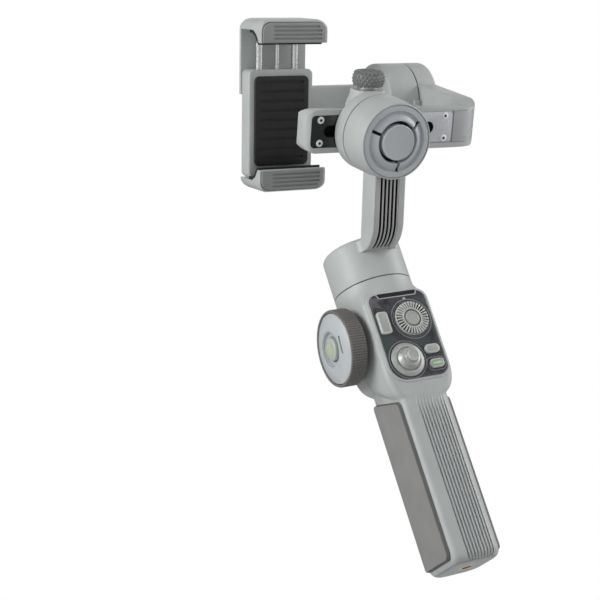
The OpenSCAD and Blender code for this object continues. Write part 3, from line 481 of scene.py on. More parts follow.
def finishes():
    """All materials of the gimbal, made once."""
    if FINISH:
        return FINISH
    c = bpy.context.scene.gimbal_colours
    FINISH.update(
        casing=moulded("casing_grey", c.casing, rough=0.46),
        trim=moulded("trim_grey", c.trim, rough=0.5, grain=0.18),
        rubber=moulded("grip_rubber", c.rubber, rough=0.62, grain=0.35, mottle=0.07, grain_size=0.4),
        # Darker grey of the pads' seats: painted shade along the pads' borders.
        edge=moulded("pad_edge_painted_shade", srgb(98, 98, 97), rough=0.6, grain=0.3, grain_size=0.4),
        wheel=moulded("wheel_rim", c.wheel, rough=0.5, grain=0.15),
        cap=moulded("cap_blue_grey", c.cap, rough=0.36, grain=0.08, coat=0.1),
        # Dark plastic of the board's chips and the tilt stop; also painted shade round the jaws' pads and in the
        # wheel's grooves.
        dark=moulded("dark_and_shade_plastic", srgb(58, 58, 58), rough=0.5),
        # Black rubber of the jaws' linings and the cushion; also painted shade in the motors' seams and the screws'
        # sockets.
        black=moulded("black_rubber", srgb(24, 24, 25), rough=0.6, grain=0.3, grain_size=0.5),
        button=moulded("key_plastic", c.button, rough=0.28, grain=0.04, coat=0.3),
        pearl=moulded("wheel_disc_pearl", srgb(186, 192, 194), rough=0.32, grain=0.04, mottle=0.02, coat=0.2),
        lens=moulded("wheel_key_green", srgb(180, 187, 178), rough=0.3, grain=0.04, coat=0.3),
        glow=moulded("wheel_key_lens", srgb(182, 197, 166), rough=0.35, grain=0.03, coat=0.2),
        wrap=moulded("corner_grey", srgb(172, 174, 177), rough=0.3, grain=0.05, coat=0.1),
        window=smoked(),
        board=board_finish(),
        light=lit(c.light),
        satin=machined("joystick_satin", srgb(178, 180, 177), rough=0.45, stretch=(1, 1, 1), scratch=0.02,
                       metallic=0.5),
        ring=moulded("panel_ring", srgb(122, 122, 128), rough=0.3, grain=0.04),
        inset=moulded("key_inset", srgb(168, 171, 168), rough=0.35, grain=0.05),
        # Near black: painted shade at the floors of slots, grooves and recesses.
        void=moulded("painted_shade_black", srgb(9, 9, 10), rough=0.8, grain=0.1),
        silver=machined("joystick_silver", srgb(196, 197, 196), rough=0.3),
        bright=machined("screw_steel", srgb(236, 236, 236), rough=0.45, scratch=0.03, metallic=0.6),
        steel=machined("steel", srgb(205, 205, 206), rough=0.25),
        plate=plate_with_painted_shade(),
        fin=moulded("inlay_fin", srgb(172, 172, 173), rough=0.4, grain=0.08),
        knob=moulded("knob_grey", srgb(110, 111, 111), rough=0.5, grain=0.15),
        brass=machined("brass_insert", srgb(190, 158, 92), rough=0.3),
        copper=machined("windings", srgb(176, 112, 66), rough=0.35),
        cell=moulded("cell_wrap", srgb(70, 130, 104), rough=0.35, grain=0.05),
    )
    return FINISH


SLOT_FINISH = {
    "body_plastic": "casing", "dark_plastic": "wheel", "inlay_plastic": "trim", "button_plastic": "button",
    "smoked_window": "window", "grip_rubber": "rubber", "black_rubber": "black", "brass": "brass", "steel": "steel",
    "aluminium": "silver", "windings": "copper", "board": "board", "cell": "cell", "cap_plastic": "cap",
    "plate_metal": "plate",
}


# The handle

# Height, half width, depth to the back, depth to the front, back corner, front corner, roundness of the neck
CASING = (
    (0.0, 11.0, 13.0, 13.6, 6.5, 6.5, 0.0),
    (4.6, 14.7, 17.75, 17.75, 9.0, 9.0, 0.0),
    (86.0, 14.7, 17.75, 17.75, 9.0, 9.0, 0.0),
    (99.0, 19.5, 18.35, 22.65, 3.6, 8.0, 0.0),
    (138.0, 19.5, 18.35, 22.65, 3.6, 8.0, 0.0),
    (151.3, 19.5, 18.35, 22.65, 3.6, 8.0, 1.0),
)
ROUND_STARTS = CASING[0], CASING[2]
NECK_Y, NECK_R = 2.5, 21.1
CASING_TOP = 150.72
GRIP_BACK = 17.75
LEFT_CORNER, SMALLEST_CORNER = 3.0, 0.8
# The waist's rise for each millimetre towards the front, and where that ends on the left and on the right
WAIST_LEAN, WAIST_LEFT, WAIST_RIGHT = 0.5, 10.0, -13.0
# Heights between which the lean comes in, and above which nothing leans
LEAN_FROM, LEAN_FULL, LEAN_END = 50, 75, 125
# Cosine of the directions past which one side's own end holds, and the distance at which a direction's lean is taken
LEAN_SIDE, LEAN_REACH = 0.75, 20
WALL = 2.0
RIB_COUNT, RIB_PITCH, RIB_X = 9, 1.85, 0.9
RIB_EDGES = (-0.52, -0.2, 0.2, 0.52)
# Where the ribs begin at the foot and end at the waist, and the heights over which they fade
RIB_FOOT, RIB_FOOT_FADE, RIB_WAIST, RIB_WAIST_FADE = 0.3, 1.5, 87.0, 14
PLAIN_SIDES = 108
SKIN_HEIGHTS = (0, 0.05, 0.2, 0.45, 0.8, 1.3, 2, 3, 4.6, 7, 14, 40, 66, 74, 77, 80, 82.5, *range(84, 114), 121,
                138, 139.5, 141, 142.5, 144, 145.5, 147, 148.5, 149.6, CASING_TOP)
CAVITY_HEIGHTS = (4.6, 40, 80, *range(84, 114, 2), 121, 138, 141, 144, 147, 148.6)


def clamped(t):
    return max(0.0, min(1.0, t))


def eased(t):
    t = clamped(t)
    return t * t * (3 - 2 * t)


def casing_section(z):
    """The casing's section at a height, eased between the sections of the table."""
    for low, high in zip(CASING, CASING[1:]):
        if z <= high[0]:
            t = max(0.0, (z - low[0]) / (high[0] - low[0]))
            t = math.sqrt(1 - (1 - t) ** 2) if low in ROUND_STARTS else eased(t)
            return [a + (b - a) * t for a, b in zip(low[1:], high[1:])]
    return list(CASING[-1][1:])


def circle_reach(cx, cy, radius, c, s):
    along = cx * c + cy * s
    return along + math.sqrt(max(0.0, along * along - cx * cx - cy * cy + radius * radius))


def leaned(z, y, c):
    """Height in the table for a height on the casing: the waist rises to the front, less so beside the port."""
    if z >= LEAN_END:
        return z
    limit = WAIST_RIGHT + (WAIST_LEFT - WAIST_RIGHT) * eased((LEAN_SIDE - c) / (2 * LEAN_SIDE))
    return z - WAIST_LEAN * (min(y, limit) + GRIP_BACK) * eased((z - LEAN_FROM) / (LEAN_FULL - LEAN_FROM))


def casing_reach(z, angle, grow):
    """Distance from the handle's middle line to the casing, in one direction."""
    c, s = math.cos(angle), math.sin(angle)
    half, back, front, back_r, front_r, neck = casing_section(leaned(z, LEAN_REACH * s, c))
    depth, corner = (back, back_r) if s < 0 else (front, front_r)
    if s < 0 and c < 0:
        corner = min(corner, LEFT_CORNER)
    half, depth, corner = half + grow, depth + grow, max(SMALLEST_CORNER, corner + grow)
    across, along = abs(c), abs(s)
    if across > 1e-9 and half * along / across <= depth - corner:
        reach = half / across
    elif along > 1e-9 and depth * across / along <= half - corner:
        reach = depth / along
    else:
        reach = circle_reach(half - corner, depth - corner, corner, across, along)
    return reach + (circle_reach(0, NECK_Y, NECK_R + grow, c, s) - reach) * neck


def casing_angles():
    """Directions of the casing's corners, close together across the ribbed back."""
    middles = [RIB_X + (i - (RIB_COUNT - 1) / 2) * RIB_PITCH for i in range(RIB_COUNT)]
    ribbed = [math.atan2(-GRIP_BACK, x + edge) for x in middles for edge in RIB_EDGES]
    plain = 2 * math.pi - (ribbed[-1] - ribbed[0])
    return ribbed + [ribbed[-1] + plain * k / PLAIN_SIDES for k in range(1, PLAIN_SIDES)], len(ribbed)


def casing_solid(heights, grow=0.0):
    """The handle as one closed skin, drawn up section by section; ribbed unless it is the cavity."""
    angles, ribbed = casing_angles()
    deselect()
    bpy.ops.mesh.primitive_circle_add(vertices=len(angles), radius=MM, fill_type="NGON")
    obj = bpy.context.object
    edit_all(obj)
    for _ in heights[1:]:
        bpy.ops.mesh.extrude_region_move(TRANSFORM_OT_translate={"value": (0, 0, MM)})
    deselect()
    step = 2 * math.pi / len(angles)
    depth = 0.0 if grow else sizes().rib_depth

    def corner(x, y, level):
        i = round(math.atan2(y, x) / step) % len(angles)
        z = heights[round(level)]
        reach = casing_reach(z, angles[i], grow)
        x, y = reach * math.cos(angles[i]), reach * math.sin(angles[i])
        if i < ribbed and i % 4 in (1, 2):
            y += depth * clamped((z - RIB_FOOT) / RIB_FOOT_FADE) * clamped((RIB_WAIST - z) / RIB_WAIST_FADE)
        return x, y, z

    return recalculate(place(obj, corner))


class GIMBAL_OT_casing(bpy.types.Operator):
    """Draws the handle's skin, hollows it, opens it and splits it into rear, front and base"""

    bl_idname = "gimbal.casing"
    bl_label = "Handle casing"

    def execute(self, context):
        skin = casing_solid(SKIN_HEIGHTS)
        carve(skin, casing_solid(CAVITY_HEIGHTS, -WALL))
        opening = seat(prism(centred_box(PANEL_X, PANEL_Z, 30.8, 45, 3.4), -8, 8), PANEL)
        neck = seat(rod(8, -20, 20), PAN)
        thread = rod(4.45, -5, 12)
        trigger = block(-6.4, 15, 99, 6.4, 30, 127.4, 0.8)
        port = block(10, 5.0, 98.5, 30, 14.0, 102.1, 0.8)
        carve(skin, opening, neck, thread, trigger, port)
        for name, piece, y0, y1, z0, z1, node in (
            ("rear_casing", copy_of(skin), -60, 3.93, 0.75, 200, "rear_shell"),
            ("front_casing", copy_of(skin), 4.07, 60, 0.75, 200, "front_shell"),
            ("base_foot", skin, -60, 60, -5, 0.6, "base_cap"),
        ):
            carve(piece, block(-60, y0, z0, 60, y1, z1), operation="INTERSECT")
            keep(name, piece, HOME, "handle", "casing", node)
        return {"FINISHED"}


# On the left and on the right: rear border, rise and height of the upper front corner
PAD_SIDES = {-1: (-14.9, 2.0, 94.4), 1: (-13.8, 1.0, 86.4)}
PAD_LOW, PAD_HIGH, PAD_FRONT = 3.4, 85.6, 13.5
PAD_EDGE, PAD_WALL, PAD_SEAT, PAD_SINK = 0.6, 1.6, 0.3, 0.1
PAD_ROWS = (6.5, 9, 78, 82, 85, 86.5, 88, 89, 90, 91, 92)


def to_border(p, border):
    """Distance of a point from a closed outline."""
    best = 1e9
    for a, b in zip(border, border[1:] + border[:1]):
        t = clamped((p - a).dot(b - a) / max(1e-12, (b - a).length_squared))
        best = min(best, (p - a - (b - a) * t).length)
    return best


def grip_pad(side, grow):
    """One rubber pad or its wider, lower seat, bent round the side of the grip, with a steep border."""
    rear, top, high = PAD_SIDES[side]
    rear, low, front, top = rear - grow, PAD_LOW - grow, PAD_FRONT + grow, top - grow
    points = filleted([(rear, low, 3.5), (front, low, 3.0), (front, high + grow, 3.0), (rear, PAD_HIGH + grow, 4.0)], 5)
    obj = outline_face(points)
    edit_all(obj)
    bpy.ops.mesh.inset(thickness=PAD_EDGE * MM, use_even_offset=True)
    cuts = [((y * MM, 0, 0), (1, 0, 0)) for y in range(-14, 14)] + [((0, z * MM, 0), (0, 1, 0)) for z in PAD_ROWS]
    for where, across in cuts:
        bpy.ops.mesh.select_all(action="SELECT")
        bpy.ops.mesh.bisect(plane_co=where, plane_no=across)
    deselect()
    border = [Vector(p) for p in points]

    def wrap(y, z, _):
        rise = top * min(1.0, to_border(Vector((y, z)), border) / (PAD_EDGE * 0.98)) - PAD_SINK
        half, back, front, back_r, front_r, _neck = casing_section(leaned(z, y, side))
        if side < 0:
            back_r = min(back_r, LEFT_CORNER)
        depth, corner = (back, back_r) if y < 0 else (front, front_r)
        straight = depth - corner
        if abs(y) <= straight:
            return side * (half + rise), y, z
        dy = min(abs(y) - straight, corner - 0.01)
        dx = math.sqrt(corner * corner - dy * dy)
        out = Vector((dx, math.copysign(dy, y))).normalized()
        return side * (half - corner + dx + out.x * rise), y + out.y * rise, z

    recalculate(place(obj, wrap))
    facing = sum((p.normal * p.area for p in obj.data.polygons), Vector())
    use_modifier(obj, "SOLIDIFY", thickness=PAD_WALL * MM, offset=-1 if facing.x * side > 0 else 1)
    return recalculate(obj)


class GIMBAL_OT_grip_pads(bpy.types.Operator):
    """Bends a rubber pad round each side of the grip, on a darker seat whose rim is painted shade round the pad"""

    bl_idname = "gimbal.grip_pads"
    bl_label = "Grip pads"

    def execute(self, context):
        for name, side in (("left", -1), ("right", 1)):
            # The darker seat shows as a band round the pad: painted shade at the pad's foot.
            keep(name + "_pad_shade_seat", grip_pad(side, PAD_SEAT), HOME, "handle", "edge", smooth=25)
            pad = grip_pad(side, 0)
            keep(name + "_pad_rubber", pad, HOME, "handle", "rubber", name + "_grip_pad", 25)
        return {"FINISHED"}


# Control panel

PANEL_X, PANEL_Z = 0.1, 119.2
PANEL_W, PANEL_H = 33.0, 47.4
PANEL_CORNERS = (9.0, 6.0, 5.0, 4.6)
DIAL = (4.6, 127.6)
RECORD = (-11.8, 127.3)
STICK = (-5.0, 106.1)
MENU = (10.4, 109.8)
MODE = (10.4, 101.7)
# Middle and size of each chip on the board
CHIPS = (
    (-9.5, 138, 5, 3), (-1, 138.6, 3.2, 2.2), (14.0, 137, 2.2, 4.4), (-12.6, 116.5, 4.4, 4.0), (5.5, 114.6, 4.2, 3.0),
    (13.6, 117.2, 2.6, 3.4), (4.6, 97.6, 5.4, 2.0), (-13.4, 97.6, 2.4, 2.4), (0.6, 117.2, 2.0, 1.4),
    (-6.5, 119.6, 1.6, 2.6), (14.6, 97.2, 1.4, 1.8),
)


def panel_outline(grow):
    """The window's outline, wider by some distance, with its lower left corner the roundest."""
    x0, x1 = PANEL_X - PANEL_W / 2 - grow, PANEL_X + PANEL_W / 2 + grow
    z0, z1 = PANEL_Z - PANEL_H / 2 - grow, PANEL_Z + PANEL_H / 2 + grow
    corners = zip((x0, x1, x1, x0), (z0, z0, z1, z1), PANEL_CORNERS)
    return filleted([(x, z, radius + grow) for x, z, radius in corners], 8)


class GIMBAL_OT_panel(bpy.types.Operator):
    """Sets the smoked window in its bezel, with the chips, rings and slot round the controls"""

    bl_idname = "gimbal.panel"
    bl_label = "Control panel"

    def execute(self, context):
        bezel = prism(panel_outline(1.6), -5, 0.12, 0.9, 4)
        carve(bezel, prism(panel_outline(0.12), -9, 9))
        keep("panel_bezel", bezel, PANEL, "handle", "casing")

        window = prism(panel_outline(-0.1), -1.6, -0.1, 0.35)
        round_steps = [360 * k / 64 for k in range(64)]
        holes = (arc(*DIAL, 9.5, round_steps), arc(*STICK, 9.3, round_steps), centred_box(*RECORD, 6.8, 12.8, 1.8),
                 centred_box(*MENU, 9.0, 5.5, 2.3), centred_box(*MODE, 9.0, 5.5, 2.3))
        carve(window, *[prism(hole, -5, 5) for hole in holes])
        keep("window_plate", window, PANEL, "handle", "window", "panel_window")

        # Black piece in the slot at the panel's top: painted shade in the opening.
        slot = [(-10.9, 143.4, 0.3), (12.2, 143.4, 0.3), (11.1, 141.2, 0.4), (-9.8, 141.2, 0.4)]
        keep("panel_slot_shade", prism(slot, -1.0, 0.14, fine=3), PANEL, "handle", "void")
        lip = [(-11.6, 143.4), (-11.0, 143.4), (-9.9, 141.1, 0.3), (11.2, 141.1, 0.3), (12.3, 143.4), (12.9, 143.4),
               (11.5, 140.6, 0.5), (-10.2, 140.6, 0.5)]
        keep("slot_lip", prism(lip, -1.0, 0.2, 0.1, fine=3), PANEL, "handle", "casing")
        chips = [block(x - w / 2, z - h / 2, -4.75, x + w / 2, z + h / 2, -3.6, 0.15) for x, z, w, h in CHIPS]
        keep("board_chips", merge(*chips), PANEL, "handle", "dark")

        rings = []
        for (x, z), r, w in ((DIAL, 11.0, 0.7), (DIAL, 9.95, 0.35), (STICK, 10.3, 0.6)):
            inner, outer = r - w / 2, r + w / 2
            ring = turned([(inner, -0.8), (outer, -0.8), (outer, 0.12, 0.2), (inner, 0.12, 0.2)], 3)
            rings.append(place(ring, lambda px, py, pz: (px + x, py + z, pz)))
        for at in (MENU, MODE):
            ring = prism(centred_box(*at, 11.4, 7.6, 3.4), -0.8, 0.1, 0.15)
            rings.append(carve(ring, prism(centred_box(*at, 10.2, 6.4, 2.8), -5, 5)))
        trim = merge(*rings)
        carve(trim, prism(panel_outline(-0.2), -3, 3), operation="INTERSECT")
        keep("panel_rings", trim, PANEL, "handle", "ring")
        mark = prism(centred_box(4.25, 139.2, 1.5, 1.0, 0.2), -0.5, 0.02, 0.02)
        keep("dial_mark", mark, PANEL, "handle", "button")
        return {"FINISHED"}


class GIMBAL_OT_dial(bpy.types.Operator):
    """Turns the toothed dial and the key in its middle"""

    bl_idname = "gimbal.dial"
    bl_label = "Dial"

    def execute(self, context):
        at = PANEL @ shift(*DIAL, 0)
        flange = turned([(4.83, -3.2), (9.2, -3.2, 0.2), (9.2, 0.75, 0.3), (8.9, 0.95, 0.1), (5.6, 0.95),
                         (5.6, 1.9, 0.2), (4.83, 1.9, 0.2)], 3)
        tooth = block(5.5, -0.37, 0.8, 8.95, 0.37, 2.1, 0.18)
        place(tooth, lambda x, y, z: (x, y * (0.72 + 0.5 * (x - 5.5) / 3.45), z))
        wheel = merge(flange, round_array(tooth, sizes().dial_teeth))
        keep("dial_wheel", wheel, at, "dial", "button", "dial_ring")
        # Black floor between the teeth: painted shade.
        floor = turned([(5.65, 0.8), (8.85, 0.8), (8.85, 1.02), (5.65, 1.02)])
        keep("dial_shade_floor", floor, at, "dial", "void")
        key = turned([(0, -3.3), (3.97, -3.3), (3.97, 1.8, 0.5), (3.2, 1.8, 0.1), (3.0, 1.55, 0.1), (0, 1.6)], 4, 64)
        keep("dial_key", key, at, "dial_press", "inset", "dial_button")
        return {"FINISHED"}


class GIMBAL_OT_keys(bpy.types.Operator):
    """Moulds the record key and the two pill keys, one with its light"""

    bl_idname = "gimbal.keys"
    bl_label = "Panel keys"

    def execute(self, context):
        for name, at, w, h, r in (
            ("record", RECORD, 6.2, 12.2, 1.6), ("menu", MENU, 8.4, 4.9, 2.3), ("mode", MODE, 8.4, 4.9, 2.3),
        ):
            body = name + "_press"
            key = prism(centred_box(*at, w, h, r), -4.0, 1.25, 0.5, 4)
            carve(key, prism(centred_box(*at, w - 1.9, h - 1.9, max(0.4, r - 0.9)), 1.0, 2.0, 0.2))
            keep(name + "_key", key, PANEL, body, "button", name + "_button")
            inset = prism(centred_box(*at, w - 2.3, h - 2.3, max(0.3, r - 1.1)), 0.6, 1.12, 0.06, 2)
            keep(name + "_key_inset", inset, PANEL, body, "inset")
        bar = prism(centred_box(MODE[0] - 0.3, MODE[1], 5.0, 1.2, 0.4), 0.9, 1.22, 0.1)
        keep("mode_light_bar", bar, PANEL, "mode_press", "light")
        return {"FINISHED"}


STICK_PIVOT, STICK_BALL, STICK_SHELL = -1.6, 6.9, 0.9


class GIMBAL_OT_joystick(bpy.types.Operator):
    """Turns the joystick's collar and its stick, slotted for the pins of its yoke"""

    bl_idname = "gimbal.joystick"
    bl_label = "Joystick"

    def execute(self, context):
        at = PANEL @ shift(*STICK, 0)
        collar = turned([(7.3, -4.7), (9.2, -4.7), (9.2, 0.4, 0.5), (8.4, 0.9, 0.4), (7.5, 1.5, 0.5), (6.8, 1.6, 0.2),
                         (6.4, 1.45, 0.1), (6.4, 1.2, 0.1), (7.3, 0.4)], 4)
        keep("stick_collar", collar, at, "handle", "satin", "joystick_collar")
        dome = arc(0, STICK_PIVOT, STICK_BALL, range(10, 50, 3))
        inside = arc(0, STICK_PIVOT, STICK_BALL - STICK_SHELL, range(70, 9, -6))
        cap = filleted([(4.75, 3.9, 0.1), (5.0, 4.1, 0.1), (5.0, 4.5, 0.2), (3.7, 4.8, 0.2), (3.4, 5.6, 0.3),
                        (3.5, 6.9, 0.3), (3.0, 7.1, 0.1), (2.7, 6.95, 0.1), (0, 6.9)], 3)
        post = [(0, -3.8), (1.6, -3.6), (2.5, -1.6), (1.7, 0.2), (1.7, 3.9)]
        stick = turned(dome + cap + post + inside, steps=72)
        carve(stick, *[block(x, -0.95, -2.6, x + 3.2, 0.95, 1.05) for x in (-8.0, 4.8)])
        pins = seat(rod(0.69, -5.3, 5.3, 16), shift(0, 0, STICK_PIVOT) @ UPRIGHT)
        keep("stick_cap", merge(stick, pins), at, "stick", "satin", "joystick_stick")
        return {"FINISHED"}


# Grooves between the wheel's ribs: depth, share of the pitch, and the part of the tyre that has them
WHEEL_GROOVE, WHEEL_GROOVE_SHARE = 0.5, (0.3, 0.8)
WHEEL_RIB_R, WHEEL_RIB_Z = 20.0, (4.6, 12.5)
WHEEL_LINE = turn("Z", -8) @ shift(-0.4, -12.0, 0)


class GIMBAL_OT_wheel(bpy.types.Operator):
    """Turns the ribbed focus wheel, its pearl disc and its key"""

    bl_idname = "gimbal.wheel"
    bl_label = "Focus wheel"

    def execute(self, context):
        count = sizes().wheel_ribs
        tyre = turned([
            (8.05, 3.7), (19.2, 3.7, 0.6), (20.1, 4.4, 0.3), (20.3, 4.9, 0.2), (20.3, 12.1, 0.2), (19.9, 12.9, 0.3),
            (19.2, 13.05, 0.2), (18.75, 12.7, 0.1), (18.75, 10.0), (15.7, 10.0), (15.7, 5.9), (8.05, 5.9),
        ], 3, count * 4)

        def rib(x, y, z):
            r = math.hypot(x, y)
            phase = (math.atan2(y, x) / (2 * math.pi) * count) % 1
            first, last = WHEEL_GROOVE_SHARE
            if r < WHEEL_RIB_R or not WHEEL_RIB_Z[0] < z < WHEEL_RIB_Z[1] or not first < phase < last:
                return x, y, z
            share = (r - WHEEL_GROOVE) / r
            return x * share, y * share, z

        keep("wheel_tyre", place(tyre, rib), WHEEL, "wheel", "wheel", "focus_wheel", 30)
        dome = [(18.4 - 8.6 * k / 8, 12.5 + 2.5 * (1 - (1 - k / 8) ** 2)) for k in range(9)]
        well_edge = filleted([(9.5, 15.0, 0.1), (9.2, 13.0, 0.1), (6.5, 13.0)], 3)
        disc = turned([(6.5, 10.0), (18.4, 10.0)] + dome + well_edge)
        carve(disc, seat(block(-4.7, -0.6, 13.2, 4.7, 0.6, 16.0, 0.3), WHEEL_LINE))
        keep("wheel_face", disc, WHEEL, "wheel", "pearl", "wheel_disc")
        # Dark floors under the line's groove and in the gap round the disc: painted shade.
        line = seat(block(-4.7, -0.6, 12.6, 4.7, 0.6, 13.4, 0.1), WHEEL_LINE)
        well = turned([(6.6, 12.6), (9.15, 12.6), (9.15, 14.7), (8.8, 14.6), (8.3, 13.3), (6.6, 13.2)])
        gap_shade_ring = turned([(17.6, 10.2), (18.7, 10.2), (18.7, 11.9), (17.6, 11.9)])
        keep("wheel_groove_shade", merge(line, gap_shade_ring), WHEEL, "wheel", "dark")
        keep("wheel_well", well, WHEEL, "wheel", "cap")
        key = turned([(0, 2.8), (5.18, 2.8), (5.18, 10.8), (6.2, 10.8, 0.2), (6.2, 15.0, 0.7), (4.2, 15.5, 2),
                      (0, 15.6)], 4, 64)
        keep("wheel_key", key, WHEEL, "wheel_press", "lens", "wheel_button")
        lens = turned([(0, 15.3), (3.3, 15.3), (3.3, 15.62), (2.6, 15.72), (0, 15.75)], steps=48)
        keep("wheel_key_lens", lens, WHEEL, "wheel_press", "glow")
        return {"FINISHED"}


class GIMBAL_OT_trigger(bpy.types.Operator):
    """Shapes the trigger on the front of the head"""

    bl_idname = "gimbal.trigger"
    bl_label = "Trigger"

    def execute(self, context):
        lever = seat(prism([
            (18.3, 100.4, 0.5), (22.0, 100.4, 1.2), (25.2, 102.2, 1.5), (23.6, 112.0, 8.0), (24.2, 121.0, 2.0),
            (21.2, 126.6, 1.5), (17.0, 126.6, 1.5), (16.4, 122.5, 1.0), (18.3, 120.0, 1.0),
        ], -6, 6, 0.9, 4, 4), SIDEWAYS)
        carve(lever, seat(rod(1.23, -20, 20), shift(0, 18.65, 124.3) @ RIGHT))
        keep("trigger_lever", lever, HOME, "trigger_lever", "wheel", "trigger")
        return {"FINISHED"}


# Motors and arms

class GIMBAL_OT_pan_motor(bpy.types.Operator):
    """Turns the pan motor's cover and a black ring inside the seam under it, painted shade in the gap"""

    bl_idname = "gimbal.pan_motor"
    bl_label = "Pan motor"

    def execute(self, context):
        cover = turned([(0, 16.05), (19.1, 16.05), (19.1, 0.4), (21.1, 0.4, 0.2), (21.1, 23.8, 2.4), (12, 24.0, 4),
                        (0, 24.0)], 6, 128)
        keep("pan_can", cover, PAN, "pan_head", "casing", "pan_cover")
        # Black ring inside the seam: painted shade in the gap.
        seam = turned([(18.0, 0.1), (20.75, 0.1), (20.75, 0.8), (18.0, 0.8)])
        keep("pan_seam", seam, PAN, "pan_head", "black")
        return {"FINISHED"}


ARM_FRONT, ARM_BACK, ARM_HALF = -14.4, -1.0, 9.2
BEND_R, BEND_Z, BEND_STEPS = 20.0, -44.0, 14
INLAY_TOP, INLAY_X = -15, (-8.5, 5.2)
GROOVES, GROOVE_W = [-5.0 + 2.2 * i for i in range(5)], 1.3
# Rounding between the arm's flanks and the pan motor's cover
WEB_R, WEB_X, WEB_Y, WEB_Z = 5.0, 14.2, -19.4, (168.8, 175.2)


def arm_curve(inset, first, last):
    """Points down the arm's front face and round its bend, in Y and Z of the roll frame."""
    bend = [last * k / BEND_STEPS for k in range(BEND_STEPS + 1)]
    return [(ARM_FRONT + inset, first)] + arc(ARM_FRONT + BEND_R, BEND_Z, inset - BEND_R, bend)


def arm_layer(outer, inner, last):
    """Outline of a layer of the inlay, between two depths under the arm's front face."""
    return arm_curve(outer, INLAY_TOP, last) + arm_curve(inner, INLAY_TOP, last)[::-1]


class GIMBAL_OT_pan_arm(bpy.types.Operator):
    """Bends the pan arm from the roll motor into the pan motor, with its slotted inlay"""

    bl_idname = "gimbal.pan_arm"
    bl_label = "Pan arm"

    def execute(self, context):
        arm = prism(arm_curve(0, -2, 64) + [(ARM_BACK, -62), (ARM_BACK, -2)], -ARM_HALF, ARM_HALF)
        soften(arm, 1.1, 4, 50)
        seat(arm, ROLL @ SIDEWAYS)
        left, right = INLAY_X
        carve(arm, seat(prism(arm_layer(-2, 2.6, 59), left - 0.1, right + 0.1), ROLL @ SIDEWAYS))
        carve(arm, seat(rod(20.9, 0.3, 60, 128), PAN), seat(rod(20.0, -25, -0.15, 128), ROLL @ AWAY))
        webs = []
        for side in (-1, 1):
            points = arc(-WEB_X, WEB_Y, WEB_R, range(0, 58, 6)) + [(-8.4, -12.5), (-8.4, WEB_Y)]
            webs.append(prism([(side * x, y) for x, y in points][::-side], *WEB_Z))
        keep("pan_link_webs", merge(*webs), HOME, "pan_head", "casing")
        keep("pan_link", arm, HOME, "pan_head", "casing", "pan_arm", 40)

        # Black floor and fin sides under the inlay's fins: painted shade in the grooves.
        dark = [prism(arm_layer(2.2, 3.0, 56), *INLAY_X)]
        fins = []
        edges = [left] + [x + side * GROOVE_W / 2 for x in GROOVES for side in (-1, 1)] + [right]
        for x0, x1 in zip(edges[::2], edges[1::2]):
            fins.append(prism(arm_layer(0.12, 0.7, 50), x0, x1, 0.12, 2))
            dark.append(prism(arm_layer(0.65, 2.5, 50), x0 + 0.05, x1 - 0.05))
        keep("inlay_shade_floor", merge(*dark), ROLL @ SIDEWAYS, "pan_head", "void")
        foot = arm_curve(0.12, INLAY_TOP, 58)[-3:] + arm_curve(2.5, INLAY_TOP, 58)[:-4:-1]
        fins.append(prism(foot, *INLAY_X, 0.18, 2))
        keep("inlay_fins", merge(*fins), ROLL @ SIDEWAYS, "pan_head", "fin", "arm_inlay")
        return {"FINISHED"}


class GIMBAL_OT_roll_motor(bpy.types.Operator):
    """Turns the roll motor's cover, its stepped cap ring and the disc in the middle"""

    bl_idname = "gimbal.roll_motor"
    bl_label = "Roll motor"

    def execute(self, context):
        at = ROLL @ AWAY
        cover = turned([
            (6.0, -15.8), (18.85, -15.8), (18.85, -18.9, 0.15), (19.5, -18.9, 0.4), (20.6, -9.0, 6),
            (20.7, -0.45, 0.15), (18.7, -0.45), (18.7, -13.8), (7.0, -13.8), (7.0, -1.55), (6.0, -1.55),
        ], 6, 128)
        keep("roll_can", cover, at, "pan_head", "casing", "roll_cover")
        # Black ring inside the seam between cover and housing: painted shade in the gap.
        seam = turned([(18.0, -0.8), (20.4, -0.8), (20.4, 0.2), (18.0, 0.2)])
        keep("roll_seam_shade", seam, at, "pan_head", "black")
        ring = turned([
            (10.4, -15.8), (18.65, -15.8), (18.65, -18.7, 0.35), (15.8, -18.8, 0.2), (15.3, -17.4, 0.1),
            (14.8, -17.5, 0.2), (11.7, -20.0, 0.5), (10.9, -20.1, 0.2),
        ], 4, 128)
        carve(ring, *[seat(block(9.5, -0.8, -23, 15.9, 0.8, -16.2, 0.2), turn("Z", a)) for a in (-35, -155, -275)])
        keep("cap_rim", ring, at, "pan_head", "cap", "roll_cap_ring")
        shadow = turned([(8.9, -15.9), (15.6, -15.9), (15.6, -16.9), (8.9, -16.9)])
        keep("cap_shadow", shadow, at, "pan_head", "void")
        disc = turned([(0, -15.8), (9.1, -15.8), (9.1, -20.8, 0.3), (8.6, -21.15, 0.15), (8.2, -20.95, 0.1),
                       (0, -21.1)], 4)
        keep("cap_button", disc, at, "pan_head", "cap", "roll_cap_disc")
        return {"FINISHED"}


